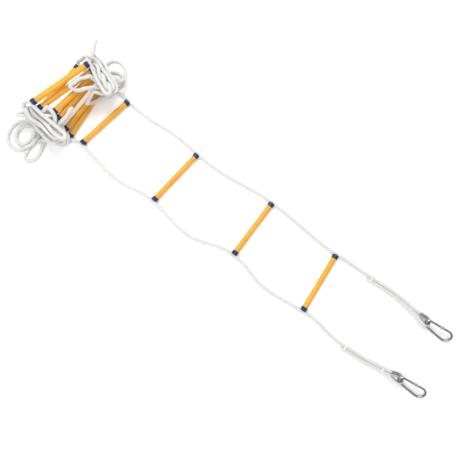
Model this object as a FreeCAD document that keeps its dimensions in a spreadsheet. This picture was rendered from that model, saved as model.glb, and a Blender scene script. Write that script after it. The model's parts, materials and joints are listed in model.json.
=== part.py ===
import FreeCAD, Part
import math
import os
import re

import Sketcher
from FreeCAD import Placement, Rotation, Vector

# Escape rope ladder, millimetres.
#
# Frame: the origin is the middle of the top rung, on its axis. +X runs along the ladder towards the
# two snap hooks, +Y towards the left rope (left and right as seen when looking at the hooks) and +Z up.
# The ladder lies on a floor that is half a cap's diameter below the origin: four rungs are laid out
# and eight more are still stacked in a bundle at the far end.
#
# Every rung is a plastic tube with a cap on each end. A tie cord through the tube joins it to both
# side ropes. Each side rope is cut into one length per bay so that the ladder folds at its rungs:
# the two lengths that meet at a rung are half laps that turn about the rung's tie cord.

DIMENSIONS = {
    # Side rope, and the way two lengths of it overlap at a rung
    "rope_dia": 12.0,
    "rope_gauge": 263.0,
    "lap_length": 24.0,
    "lap_gap": 0.2,
    "lap_straight": 26.0,
    "sag_share": 0.78,
    # Rung: tube, end caps and the cord through them
    "tube_dia": 22.0,
    "tube_wall": 2.2,
    "cap_dia": 25.0,
    "cap_length": 16.5,
    "cap_skirt": 10.0,
    "cap_chamfer": 1.0,
    "saddle_depth": 3.2,
    "saddle_gap": 0.2,
    "cord_dia": 5.0,
    "cord_gap": 0.1,
    "cord_head_dia": 9.0,
    "cord_head_length": 1.8,
    # The four rungs that are laid out: place along and across the ladder, and turn in degrees
    "rung_01_along": 0.0,
    "rung_01_across": 0.0,
    "rung_01_turn": 5.2,
    "rung_02_along": -338.0,
    "rung_02_across": 14.0,
    "rung_02_turn": 0.2,
    "rung_03_along": -714.0,
    "rung_03_across": -7.0,
    "rung_03_turn": -5.6,
    "rung_04_along": -1086.0,
    "rung_04_across": 1.0,
    "rung_04_turn": -9.0,
    # How far each laid-out rope strays to the left of a straight line, at one and two thirds of its bay
    "stray_left_01_near": 0.0,
    "stray_left_01_far": -1.0,
    "stray_left_02_near": -3.0,
    "stray_left_02_far": -8.0,
    "stray_left_03_near": 8.0,
    "stray_left_03_far": -3.0,
    "stray_right_01_near": -18.0,
    "stray_right_01_far": -21.0,
    "stray_right_02_near": -29.0,
    "stray_right_02_far": -30.0,
    "stray_right_03_near": -22.0,
    "stray_right_03_far": -17.0,
    # The eight rungs in the bundle: as above, and height in the stack
    "stack_pitch": 25.5,
    "rung_05_along": -1177.0,
    "rung_05_across": -8.0,
    "rung_05_turn": 5.5,
    "rung_05_level": 0.0,
    "rung_06_along": -1183.0,
    "rung_06_across": 3.0,
    "rung_06_turn": -0.5,
    "rung_06_level": 1.0,
    "rung_07_along": -1210.0,
    "rung_07_across": 10.0,
    "rung_07_turn": 0.0,
    "rung_07_level": 2.0,
    "rung_08_along": -1204.0,
    "rung_08_across": 18.0,
    "rung_08_turn": -1.2,
    "rung_08_level": 3.0,
    "rung_09_along": -1204.0,
    "rung_09_across": 25.0,
    "rung_09_turn": -7.7,
    "rung_09_level": 4.0,
    "rung_10_along": -1226.0,
    "rung_10_across": 0.0,
    "rung_10_turn": -15.4,
    "rung_10_level": 5.0,
    "rung_11_along": -1268.0,
    "rung_11_across": -25.0,
    "rung_11_turn": -2.0,
    "rung_11_level": 4.0,
    "rung_12_along": -1237.0,
    "rung_12_across": 0.0,
    "rung_12_turn": -16.3,
    "rung_12_level": 6.35,
    # Coiled rope at each end of the stacked rungs: a pad with rounded edges, and a gap round the rungs
    "coil_height": 160.0,
    "coil_round": 18.0,
    "coil_gap": 1.0,
    "coil_left_start": -1305.0,
    "coil_left_length": 190.0,
    "coil_left_inner": 110.0,
    "coil_left_width": 80.0,
    "coil_right_start": -1368.0,
    "coil_right_length": 206.0,
    "coil_right_inner": 112.0,
    "coil_right_width": 86.0,
    # Eyes: the rope turns back round a thimble and lies beside itself
    "pair_gap": 0.2,
    "pair_left_start_along": 135.0,
    "pair_left_start_across": 133.0,
    "pair_left_middle_along": 264.0,
    "pair_left_middle_across": 140.0,
    "pair_right_start_along": 211.0,
    "pair_right_start_across": -148.0,
    "pair_right_middle_along": 324.0,
    "pair_right_middle_across": -136.0,
    "eye_bend": 19.0,
    "eye_half_angle": 16.0,
    "throat_bend": 30.0,
    "eye_tilt": -33.0,
    "eye_rise": 6.0,
    "eye_left_along": 432.0,
    "eye_left_across": 126.0,
    "eye_left_heading": -5.0,
    "eye_right_along": 471.0,
    "eye_right_across": -113.0,
    "eye_right_heading": 8.0,
    # Thimble and the twine that binds the doubled rope
    "thimble_sheet": 1.2,
    "thimble_wrap": 100.0,
    "thimble_leg": 26.0,
    "seizing_length": 12.0,
    "seizing_thickness": 1.2,
    "seizing_gap": 0.3,
    # Snap hook
    "hook_wire": 8.5,
    "hook_length": 122.0,
    "hook_eye_bend": 15.0,
    "hook_bow_bend": 23.0,
    "hook_tilt": 37.0,
    "hook_left_heading": 1.0,
    "hook_right_heading": 3.0,
    "stub_end": 10.0,
    "pivot_at": 15.5,
    "gate_end": 61.0,
    "nose_start": 62.0,
    "tongue_thickness": 2.9,
    "slot_thickness": 3.2,
    "rivet_dia": 3.0,
    "rivet_length": 8.0,
    "rivet_gap": 0.06,
    "latch_at": 58.0,
    "latch_dia": 2.4,
    "latch_length": 6.2,
    "latch_gap": 0.5,
    "spring_bore": 4.2,
    "spring_coil_dia": 3.4,
    "spring_wire": 0.5,
    "spring_pitch": 1.4,
    "spring_length": 10.5,
    "plunger_dia": 3.8,
    "plunger_length": 6.5,
    "sleeve_start": 39.0,
    "sleeve_length": 17.5,
    "sleeve_dia": 12.5,
    "sleeve_chamfer": 1.2,
    "thread_gap": 0.1,
}

LAID_OUT = (1, 2, 3, 4)
BUNDLED = (5, 6, 7, 8, 9, 10, 11, 12)
SIDES = {"left": 1, "right": -1}
TURN_ROUND = Placement(Vector(), Rotation(Vector(0, 0, 1), 180))
LAY_ALONG_X = Rotation(Vector(0, 1, 0), 90)
FULL_TURN = 360.0

doc = FreeCAD.newDocument("EscapeRopeLadder")
sheet = doc.addObject("Spreadsheet::Sheet", "Dims")
parts = []


# ---------------------------------------------------------------- dimensions


def fill_sheet():
    """Write each driving dimension to its own row, with its name as the cell's alias."""
    for row, (name, size) in enumerate(DIMENSIONS.items(), start=1):
        sheet.set(f"A{row}", name)
        sheet.set(f"B{row}", str(size))
        sheet.setAlias(f"B{row}", name)
    doc.recompute()


def dim(name):
    """A driving dimension, read from the sheet."""
    return float(sheet.get(name))


def linked(expression):
    """An expression over dimension names, with each name pointing at its cell in the sheet."""
    names = re.compile(r"\b(" + "|".join(DIMENSIONS) + r")\b")
    return names.sub(r"Dims.\1", expression)


def number(expression):
    """The present value of an expression over dimension names."""
    return float(sheet.evalExpression(expression))


def bind(thing, **expressions):
    """Tie properties of a document object to expressions over dimension names."""
    for name, expression in expressions.items():
        thing.setExpression(name, linked(expression))


# ------------------------------------------------------- sketches and bodies


def keep(thing, node, place=None):
    """Name a finished sub-part, put it in its place and list it for export."""
    thing.Label = node
    if place is not None:
        thing.Placement = place
    parts.append(thing)
    return thing


def sketch_on(body, name, role):
    """A new sketch on one of a body's own origin planes."""
    sketch = body.newObject("Sketcher::SketchObject", name)
    plane = next(f for f in body.Origin.OriginFeatures if f.Role == role)
    sketch.AttachmentSupport = [(plane, "")]
    sketch.MapMode = "FlatFace"
    return sketch


def hold_point(sketch, edge, end, axis, expression):
    """Fix one coordinate of a sketch point, with its distance from the origin bound to the sheet."""
    if expression == "0":
        sketch.addConstraint(Sketcher.Constraint("PointOnObject", edge, end, -2 if axis == "X" else -1))
        return
    place = sketch.addConstraint(
        Sketcher.Constraint(f"Distance{axis}", -1, 1, edge, end, number(expression))
    )
    name = f"place_{axis}_{edge}_{end}"
    sketch.renameConstraint(place, name)
    sketch.setExpression(f"Constraints.{name}", linked(expression))


def draw_outline(sketch, corners):
    """A closed straight-sided outline through corners given as pairs of expressions."""
    points = [Vector(number(x), number(y), 0) for x, y in corners]
    first = sketch.GeometryCount
    for start, end in zip(points, points[1:] + points[:1]):
        sketch.addGeometry(Part.LineSegment(start, end))
    for i in range(len(corners)):
        following = first + (i + 1) % len(corners)
        sketch.addConstraint(Sketcher.Constraint("Coincident", first + i, 2, following, 1))
    for i, (x, y) in enumerate(corners):
        hold_point(sketch, first + i, 1, "X", x)
        hold_point(sketch, first + i, 1, "Y", y)


def draw_circle(sketch, name, diameter, x="0"):
    """A circle with its centre on the sketch's horizontal axis."""
    circle = sketch.addGeometry(
        Part.Circle(Vector(number(x), 0, 0), Vector(0, 0, 1), number(diameter) / 2)
    )
    size = sketch.addConstraint(Sketcher.Constraint("Diameter", circle, number(diameter)))
    sketch.renameConstraint(size, name)
    sketch.setExpression(f"Constraints.{name}", linked(diameter))
    hold_point(sketch, circle, 3, "X", x)
    sketch.addConstraint(Sketcher.Constraint("PointOnObject", circle, 3, -1))


def turned_body(name, corners, axis):
    """A body turned about an axis of the XY plane from a half section."""
    body = doc.addObject("PartDesign::Body", name)
    section = sketch_on(body, f"{name}_section", "XY_Plane")
    draw_outline(section, corners)
    turned = body.newObject("PartDesign::Revolution", f"{name}_turned")
    turned.Profile = section
    turned.ReferenceAxis = (section, [axis])
    turned.Angle = FULL_TURN
    return body


# ----------------------------------------------------- primitives, booleans


def round_bar(name, diameter, length, place):
    """A cylinder whose diameter and length come from the sheet."""
    bar = doc.addObject("Part::Cylinder", name)
    bind(bar, Radius=f"({diameter}) / 2", Height=length)
    bar.Placement = place
    return bar


def slab(name, length, width, height, place):
    """A box whose sides come from the sheet."""
    block = doc.addObject("Part::Box", name)
    bind(block, Length=length, Width=width, Height=height)
    block.Placement = place
    return block


def bend(name, radius, thickness, place, angle):
    """A round bar bent to part of a ring."""
    ring = doc.addObject("Part::Torus", name)
    bind(ring, Radius1=radius, Radius2=f"{thickness} / 2")
    ring.Angle3 = angle
    ring.Placement = place
    return ring


def joined(name, shapes):
    """One solid from several that overlap or touch."""
    whole = doc.addObject("Part::MultiFuse", name)
    whole.Shapes = shapes
    return whole


def less(name, base, tool):
    """A solid with a tool taken away."""
    rest = doc.addObject("Part::Cut", name)
    rest.Base = base
    rest.Tool = tool
    return rest


def code_shape(name, shape):
    """A sub-part whose shape is worked out in code, because it follows a free curve."""
    feature = doc.addObject("Part::Feature", name)
    feature.Shape = shape
    return feature


def box_between(low, high):
    """A box between two corners, each (x, y, z)."""
    corners = [sorted(pair) for pair in zip(low, high)]
    start = Vector(*[pair[0] for pair in corners])
    sides = [pair[1] - pair[0] for pair in corners]
    return Part.makeBox(*sides, start)


def pipe(wire, radius):
    """A round solid swept along a smooth wire."""
    first = wire.Edges[0]
    start = first.firstVertex(True).Point
    at = first.FirstParameter if first.Orientation == "Forward" else first.LastParameter
    direction = first.tangentAt(at)
    section = Part.Wire(Part.Circle(start, direction, radius).toShape())
    sweep = Part.BRepOffsetAPI.MakePipeShell(wire)
    sweep.add(section, False, False)
    sweep.build()
    sweep.makeSolid()
    return sweep.shape()


def smooth_edge(points, start_tangent=None, end_tangent=None):
    """A smooth curve through points, with its end directions held where they are given."""
    curve = Part.BSplineCurve()
    if start_tangent is None:
        curve.interpolate(Points=points)
    else:
        curve.interpolate(Points=points, InitialTangent=start_tangent, FinalTangent=end_tangent)
    return curve.toShape()


# ---------------------------------------------------------------------- rungs


def rung_frame(rung):
    """Where a rung is: its own Y axis runs along it, and its own X axis towards the hooks."""
    key = f"rung_{rung:02d}"
    rise = dim(f"{key}_level") * dim("stack_pitch") if rung in BUNDLED else 0.0
    middle = Vector(dim(f"{key}_along"), dim(f"{key}_across"), rise)
    return Placement(middle, Rotation(Vector(0, 0, 1), dim(f"{key}_turn")))


CAP_END = "rope_gauge / 2 - rope_dia / 2 - saddle_gap + saddle_depth"
TUBE_END = f"{CAP_END} - cap_length + cap_skirt"
CORD_END = "rope_gauge / 2 + rope_dia / 2 - saddle_gap"


def rung_tube(name):
    """The rung's hollow tube, along Y."""
    body = doc.addObject("PartDesign::Body", name)
    ring = sketch_on(body, f"{name}_ring", "XZ_Plane")
    draw_circle(ring, "outside", "tube_dia")
    draw_circle(ring, "inside", "tube_dia - 2 * tube_wall")
    tube = body.newObject("PartDesign::Pad", f"{name}_length")
    tube.Profile = ring
    tube.Midplane = True
    tube.setExpression("Length", linked(f"2 * ({TUBE_END})"))
    return body


def rung_cap(name):
    """A cap on the tube's +Y end: a skirt over the tube, a floor with the cord's hole in it, and a
    round saddle across the outside, where the side rope lies."""
    body = turned_body(
        name,
        [
            ("cap_dia / 2", f"{CAP_END} - cap_length + cap_chamfer"),
            ("cap_dia / 2", CAP_END),
            ("cord_dia / 2 + cord_gap", CAP_END),
            ("cord_dia / 2 + cord_gap", TUBE_END),
            ("tube_dia / 2", TUBE_END),
            ("tube_dia / 2", f"{CAP_END} - cap_length"),
            ("cap_dia / 2 - cap_chamfer", f"{CAP_END} - cap_length"),
        ],
        "V_Axis",
    )
    saddle = sketch_on(body, f"{name}_saddle", "YZ_Plane")
    draw_circle(saddle, "saddle", "rope_dia + 2 * saddle_gap", "rope_gauge / 2")
    groove = body.newObject("PartDesign::Pocket", f"{name}_groove")
    groove.Profile = saddle
    groove.Type = "ThroughAll"
    groove.Midplane = True
    return body


def tie_cord(name):
    """The cord through the rung and both side ropes, with a flattened head at each end."""
    head_start = f"{CORD_END} - cord_head_length"
    return turned_body(
        name,
        [
            ("0", f"-({CORD_END})"),
            ("cord_head_dia / 2", f"-({CORD_END})"),
            ("cord_head_dia / 2", f"-({head_start})"),
            ("cord_dia / 2", f"-({head_start})"),
            ("cord_dia / 2", head_start),
            ("cord_head_dia / 2", head_start),
            ("cord_head_dia / 2", CORD_END),
            ("0", CORD_END),
        ],
        "V_Axis",
    )


def add_laid_out_rungs():
    """Rungs 1 to 4, each with its tube, two caps and cord as nodes of their own."""
    for rung in LAID_OUT:
        frame = rung_frame(rung)
        keep(rung_tube(f"tube_{rung}"), f"rung_{rung:02d}_tube", frame)
        keep(rung_cap(f"cap_left_{rung}"), f"rung_{rung:02d}_cap_left", frame)
        keep(rung_cap(f"cap_right_{rung}"), f"rung_{rung:02d}_cap_right", frame.multiply(TURN_ROUND))
        keep(tie_cord(f"cord_{rung}"), f"rung_{rung:02d}_tie_cord", frame)


def add_bundled_rungs():
    """Rungs 5 to 12: a tube each. Their caps and cords are identical, and share a node for each kind."""
    patterns = {"left": rung_cap("stack_cap_left"), "right": rung_cap("stack_cap_right")}
    cord = tie_cord("stack_cord")
    doc.recompute()
    frames = [rung_frame(rung) for rung in BUNDLED]
    for rung, frame in zip(BUNDLED, frames):
        keep(rung_tube(f"tube_{rung}"), f"rung_{rung:02d}_tube", frame)
    for side, pattern in patterns.items():
        turn = TURN_ROUND if side == "right" else Placement()
        copies = [placed(pattern.Shape, frame.multiply(turn)) for frame in frames]
        keep(code_shape(f"stack_caps_{side}", Part.makeCompound(copies)), f"bundle_caps_{side}")
    cords = [placed(cord.Shape, frame) for frame in frames]
    keep(code_shape("stack_cords", Part.makeCompound(cords)), "bundle_tie_cords")


def placed(shape, place):
    """A copy of a shape, moved to a place."""
    copy = shape.copy()
    copy.Placement = place
    return copy


# ----------------------------------------------------------------- side ropes


def rope_point(frame, side, along):
    """A point on the side rope's centre line where it crosses a rung, along mm towards the hooks."""
    return frame.multVec(Vector(along, side * dim("rope_gauge") / 2, 0))


def lap_cutter(side, leaving):
    """What to take off a rope at a rung, in the rung's own frame, to leave its half of the lap.

    A rope that leaves towards the hooks keeps the outer half, and turns about the cord. A rope that
    arrives keeps the inner half, which stays in the cap's saddle.
    """
    reach = dim("rope_dia")
    middle = side * dim("rope_gauge") / 2
    radius = dim("rope_dia") / 2
    ahead = 1 if leaving else -1
    split = middle + side * ahead * dim("lap_gap") / 2
    other_half = middle - side * ahead * reach
    taken = box_between((ahead * dim("lap_length"), split, -reach), (-ahead * reach, other_half, reach))
    beyond = box_between((0, middle - reach, -reach), (-ahead * reach, middle + reach, reach))
    start = Vector(0, middle - reach, 0)
    knuckle = Part.makeCylinder(radius, 2 * reach, start, Vector(0, 1, 0))
    cord_hole = Part.makeCylinder(
        dim("cord_dia") / 2 + dim("cord_gap"), 2 * reach, start, Vector(0, 1, 0)
    )
    cutter = taken.fuse([beyond.cut(knuckle), cord_hole])
    if leaving:
        head_start = number(CORD_END) - dim("cord_head_length") - dim("saddle_gap")
        recess = Part.makeCylinder(
            dim("cord_head_dia") / 2 + dim("cord_gap"),
            reach,
            Vector(0, side * head_start, 0),
            Vector(0, side, 0),
        )
        cutter = cutter.fuse(recess)
    return cutter


def lapped(rope, frame, side, leaving):
    """A rope with its half lap cut where it meets the rung in a frame."""
    return rope.cut(placed(lap_cutter(side, leaving), frame))


def floor_height():
    """The height of a rope's centre line where it lies on the floor."""
    return (dim("rope_dia") - dim("cap_dia")) / 2


def add_bay_ropes():
    """The ropes between laid-out rungs. Bay 1 joins rungs 2 and 1, and so on towards the bundle."""
    straight = dim("lap_straight")
    knuckle = dim("rope_dia") / 2
    for bay in LAID_OUT[:-1]:
        near, far = rung_frame(bay), rung_frame(bay + 1)
        for name, side in SIDES.items():
            start, end = rope_point(far, side, straight), rope_point(near, side, -straight)
            middles = []
            for share, place in ((1 / 3, "far"), (2 / 3, "near")):
                middle = start + (end - start) * share
                middle.y += dim(f"stray_{name}_{bay:02d}_{place}")
                middle.z = dim("sag_share") * floor_height()
                middles.append(middle)
            wire = Part.Wire(
                [
                    Part.makeLine(rope_point(far, side, -knuckle), start),
                    smooth_edge([start, *middles, end], far.Rotation.multVec(Vector(1, 0, 0)),
                                near.Rotation.multVec(Vector(1, 0, 0))),
                    Part.makeLine(end, rope_point(near, side, knuckle)),
                ]
            )
            rope = pipe(wire, knuckle)
            rope = lapped(rope, far, side, leaving=True)
            rope = lapped(rope, near, side, leaving=False)
            keep(code_shape(f"bay_{bay}_{name}", rope), f"rope_bay_{bay}_{name}")


# ------------------------------------------------------------ eyes, thimbles


def eye_frame(name):
    """Where an eye is: its own origin is the rope's centre line at the tip, its X axis points out of
    the eye and its XY plane holds the eye."""
    tip = Vector(dim(f"eye_{name}_along"), dim(f"eye_{name}_across"), dim("eye_rise"))
    heading = Rotation(Vector(0, 0, 1), dim(f"eye_{name}_heading"))
    tilt = Rotation(Vector(1, 0, 0), dim("eye_tilt"))
    return Placement(tip, heading.multiply(tilt))


def half_pair():
    """Half the distance between the two ropes of the doubled part."""
    return (dim("rope_dia") + dim("pair_gap")) / 2


class EyeOutline:
    """The rope's centre line round an eye, in the eye's own plane: a bend at the tip that runs on past
    a half turn, two straight legs that close in, and a bend at the throat that makes them parallel."""

    def __init__(self):
        angle = math.radians(dim("eye_half_angle"))
        tip, throat = dim("eye_bend"), dim("throat_bend")
        self.leg = Vector(-tip * (1 + math.sin(angle)), tip * math.cos(angle), 0)
        drop = half_pair() + throat * (1 - math.cos(angle)) - self.leg.y
        self.throat_x = self.leg.x + drop / math.tan(angle) - throat * math.sin(angle)
        self.throat = Vector(self.throat_x, half_pair(), 0)
        self.leg_end = self.throat + Vector(throat * math.sin(angle), throat * (1 - math.cos(angle)), 0)
        self.throat_middle = self.throat + Vector(
            throat * math.sin(angle / 2), throat * (1 - math.cos(angle / 2)), 0
        )

    def edges(self):
        """The whole outline, from the throat on the +Y side round to the throat on the -Y side."""
        across = {1: [self.throat, self.throat_middle, self.leg_end, self.leg]}
        across[-1] = [Vector(p.x, -p.y, 0) for p in across[1]]
        bend = {side: Part.Arc(*points[:3]).toShape() for side, points in across.items()}
        leg = {side: Part.makeLine(points[2], points[3]) for side, points in across.items()}
        tip = Part.Arc(across[1][3], Vector(), across[-1][3]).toShape()
        return [bend[1], leg[1], tip, leg[-1], bend[-1]]


def pair_height(share):
    """How high the middle of the doubled rope runs: its lower rope and the twine just clear the floor."""
    band = dim("rope_dia") / 2 + dim("seizing_gap") + dim("seizing_thickness")
    lift = half_pair() * math.sin(math.radians(-dim("eye_tilt")) * share)
    return band + lift - dim("cap_dia") / 2


def pair_line(name):
    """The middle line of the doubled rope, from where the rope's end lies to the eye's throat."""
    frame = eye_frame(name)
    throat = frame.multVec(Vector(EyeOutline().throat_x, 0, 0))
    points = []
    for at, share in (("start", 0), ("middle", 1 / 2)):
        along, across = dim(f"pair_{name}_{at}_along"), dim(f"pair_{name}_{at}_across")
        points.append(Vector(along, across, pair_height(share)))
    first_step = points[1] - points[0]
    curve = Part.BSplineCurve()
    curve.interpolate(
        Points=[*points, throat],
        InitialTangent=first_step,
        FinalTangent=frame.Rotation.multVec(Vector(1, 0, 0)) * first_step.Length,
    )
    return curve


PAIR_STEPS = 6


def beside(curve, offset):
    """Points beside the doubled rope's middle line. It lies flat at first and ends tilted like the eye."""
    points = []
    for step in range(PAIR_STEPS + 1):
        share = step / PAIR_STEPS
        at = curve.FirstParameter + share * (curve.LastParameter - curve.FirstParameter)
        direction = Vector(*curve.tangent(at)[0])
        level = Vector(0, 0, 1).cross(direction).normalize()
        tilt = Rotation(direction, dim("eye_tilt") * share)
        points.append(curve.value(at) + tilt.multVec(level) * offset)
    return points


def add_eye_ropes():
    """The rope from the top rung to each eye, round it, and back beside itself."""
    outline = EyeOutline()
    top = rung_frame(LAID_OUT[0])
    knuckle = dim("rope_dia") / 2
    for name, side in SIDES.items():
        frame = eye_frame(name)
        heading = frame.Rotation.multVec(Vector(1, 0, 0))
        middle = pair_line(name)
        standing = beside(middle, half_pair())
        tail = beside(middle, -half_pair())[::-1]
        start = rope_point(top, side, dim("lap_straight"))
        halfway = (start + standing[0]) * 0.5
        halfway.z = dim("sag_share") * floor_height()
        eye = [placed(edge, frame) for edge in outline.edges()]
        wire = Part.Wire(
            [
                Part.makeLine(rope_point(top, side, -knuckle), start),
                smooth_edge([start, halfway, *standing], top.Rotation.multVec(Vector(1, 0, 0)), heading),
                *eye,
                smooth_edge(tail, heading * -1, middle.tangent(middle.FirstParameter)[0] * -1),
            ]
        )
        rope = lapped(pipe(wire, knuckle), top, side, leaving=True)
        keep(code_shape(f"eye_{name}", rope), f"eye_rope_{name}")


def thimble_shape():
    """A sheet-metal channel that lines the eye, open on the outside to hold the rope."""
    outline = EyeOutline()
    inner = dim("rope_dia") / 2 + dim("saddle_gap") / 2
    outer = inner + dim("thimble_sheet")
    towards_throat = (outline.leg_end - outline.leg).normalize()
    ends = [outline.leg + towards_throat * dim("thimble_leg")]
    ends.append(Vector(ends[0].x, -ends[0].y, 0))
    wire = Part.Wire(
        [
            Part.makeLine(ends[0], outline.leg),
            Part.Arc(outline.leg, Vector(), Vector(outline.leg.x, -outline.leg.y, 0)).toShape(),
            Part.makeLine(Vector(outline.leg.x, -outline.leg.y, 0), ends[1]),
        ]
    )
    inward = Vector(0, 0, 1).cross(towards_throat).normalize()
    wrap = math.radians(dim("thimble_wrap"))

    def around(radius, angle):
        return ends[0] + inward * (radius * math.cos(angle)) + Vector(0, 0, radius * math.sin(angle))

    section = Part.Wire(
        [
            Part.Arc(around(inner, -wrap), around(inner, 0), around(inner, wrap)).toShape(),
            Part.makeLine(around(inner, wrap), around(outer, wrap)),
            Part.Arc(around(outer, wrap), around(outer, 0), around(outer, -wrap)).toShape(),
            Part.makeLine(around(outer, -wrap), around(inner, -wrap)),
        ]
    )
    sweep = Part.BRepOffsetAPI.MakePipeShell(wire)
    sweep.setBiNormalMode(Vector(0, 0, 1))
    sweep.add(section, False, False)
    sweep.build()
    sweep.makeSolid()
    return sweep.shape()


def seizing(point, direction, tilt):
    """A band of twine round the doubled rope, centred on a point of its middle line."""
    length, spread = dim("seizing_length"), half_pair()
    inner = dim("rope_dia") / 2 + dim("seizing_gap")

    def band(radius):
        forward = Vector(1, 0, 0)
        ends = [Part.makeCylinder(radius, length, Vector(0, y, 0), forward) for y in (spread, -spread)]
        web = Part.makeBox(length, 2 * spread, 2 * radius, Vector(0, -spread, -radius))
        return ends[0].fuse([ends[1], web]).removeSplitter()

    ring = band(inner + dim("seizing_thickness")).cut(band(inner))
    ring.translate(Vector(-length / 2, 0, 0))
    level = Vector(0, 0, 1).cross(direction).normalize()
    lateral = Rotation(direction, tilt).multVec(level)
    turn = Rotation(direction, lateral, direction.cross(lateral), "XYZ")
    return placed(ring, Placement(point, turn).multiply(ring.Placement))


SEIZINGS_AT = (0.08, 0.93)


def add_eye_fittings():
    """The thimble in each eye and the bands of twine along its doubled rope."""
    for name in SIDES:
        keep(code_shape(f"liner_{name}", thimble_shape()), f"thimble_{name}", eye_frame(name))
        middle = pair_line(name)
        bands = []
        for share in SEIZINGS_AT:
            at = middle.FirstParameter + share * (middle.LastParameter - middle.FirstParameter)
            direction = Vector(*middle.tangent(at)[0])
            bands.append(seizing(middle.value(at), direction, dim("eye_tilt") * share))
        keep(code_shape(f"bands_{name}", Part.makeCompound(bands)), f"eye_seizings_{name}")


# ----------------------------------------------------------------- snap hooks


def hook_frame(name):
    """Where a hook is: its small bend is centred on the eye's tip, and its X axis points to its bow."""
    tip = eye_frame(name).Base
    heading = Rotation(Vector(0, 0, 1), dim(f"hook_{name}_heading"))
    return Placement(tip, heading.multiply(Rotation(Vector(1, 0, 0), dim("hook_tilt"))))


# The distance between the centres of the hook's small bend and its bow, and how long its sides are
HOOK_REACH = "(hook_length - hook_eye_bend - hook_bow_bend - hook_wire)"
HOOK_SIDE = f"sqrt({HOOK_REACH}^2 - (hook_bow_bend - hook_eye_bend)^2)"

# How far pieces of one solid run into each other before they are joined
OVERLAP = 1.0


def hook_slope():
    """The angle in degrees at which the hook's straight sides spread towards the bow."""
    return math.degrees(math.asin((dim("hook_bow_bend") - dim("hook_eye_bend")) / number(HOOK_REACH)))


def gate_frame():
    """The gate's side of the hook, in the hook's frame: its X axis runs along the gate from the end of
    the small bend."""
    slope = math.radians(hook_slope())
    start = Vector(-math.sin(slope), math.cos(slope), 0) * dim("hook_eye_bend")
    return Placement(start, Rotation(Vector(0, 0, 1), hook_slope()))


def on_gate(along, across=0.0, up=0.0, turn=None):
    """A place in the gate's frame."""
    return gate_frame().multiply(Placement(Vector(along, across, up), turn or Rotation()))


def hook_body(name):
    """The bent bar: small bend, spine, bow and nose, with a tongue for the gate's pivot at one end
    and a latch for its tip at the other."""
    slope = hook_slope()
    flat_out = 90 + slope
    tongue, latch = dim("tongue_thickness"), dim("latch_length")
    width, thickness = dim("hook_wire"), dim("slot_thickness")
    spine_start = Rotation(Vector(0, 0, 1), -flat_out).multVec(Vector(dim("hook_eye_bend"), 0, 0))
    spine_turn = Rotation(Vector(0, 0, 1), -slope).multiply(LAY_ALONG_X)
    pieces = [
        bend(
            f"{name}_small_bend",
            "hook_eye_bend",
            "hook_wire",
            Placement(Vector(), Rotation(Vector(0, 0, 1), flat_out)),
            180 - 2 * slope,
        ),
        bend(
            f"{name}_bow",
            "hook_bow_bend",
            "hook_wire",
            Placement(Vector(number(HOOK_REACH), 0, 0), Rotation(Vector(0, 0, 1), -flat_out)),
            180 + 2 * slope,
        ),
        round_bar(f"{name}_spine", "hook_wire", HOOK_SIDE, Placement(spine_start, spine_turn)),
        round_bar(
            f"{name}_nose",
            "hook_wire",
            f"{HOOK_SIDE} - nose_start",
            on_gate(dim("nose_start"), turn=LAY_ALONG_X),
        ),
        round_bar(f"{name}_stub", "hook_wire", "stub_end", on_gate(0, turn=LAY_ALONG_X)),
        slab(
            f"{name}_tongue",
            f"pivot_at - stub_end + {OVERLAP}",
            "hook_wire",
            "tongue_thickness",
            on_gate(dim("stub_end") - OVERLAP, -width / 2, -tongue / 2),
        ),
        round_bar(
            f"{name}_tongue_end", "hook_wire", "tongue_thickness", on_gate(dim("pivot_at"), 0, -tongue / 2)
        ),
        slab(
            f"{name}_latch_neck",
            f"nose_start - latch_at + {OVERLAP}",
            "latch_dia * 2",
            "slot_thickness - 2 * latch_gap",
            on_gate(dim("latch_at"), -dim("latch_dia"), dim("latch_gap") - thickness / 2),
        ),
        round_bar(f"{name}_latch", "latch_dia", "latch_length", on_gate(dim("latch_at"), 0, -latch / 2)),
    ]
    hole = round_bar(
        f"{name}_pivot_hole",
        "rivet_dia + 2 * rivet_gap",
        "hook_wire",
        on_gate(dim("pivot_at"), 0, -width / 2),
    )
    return less(f"{name}_drilled", joined(f"{name}_bar", pieces), hole)


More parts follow.
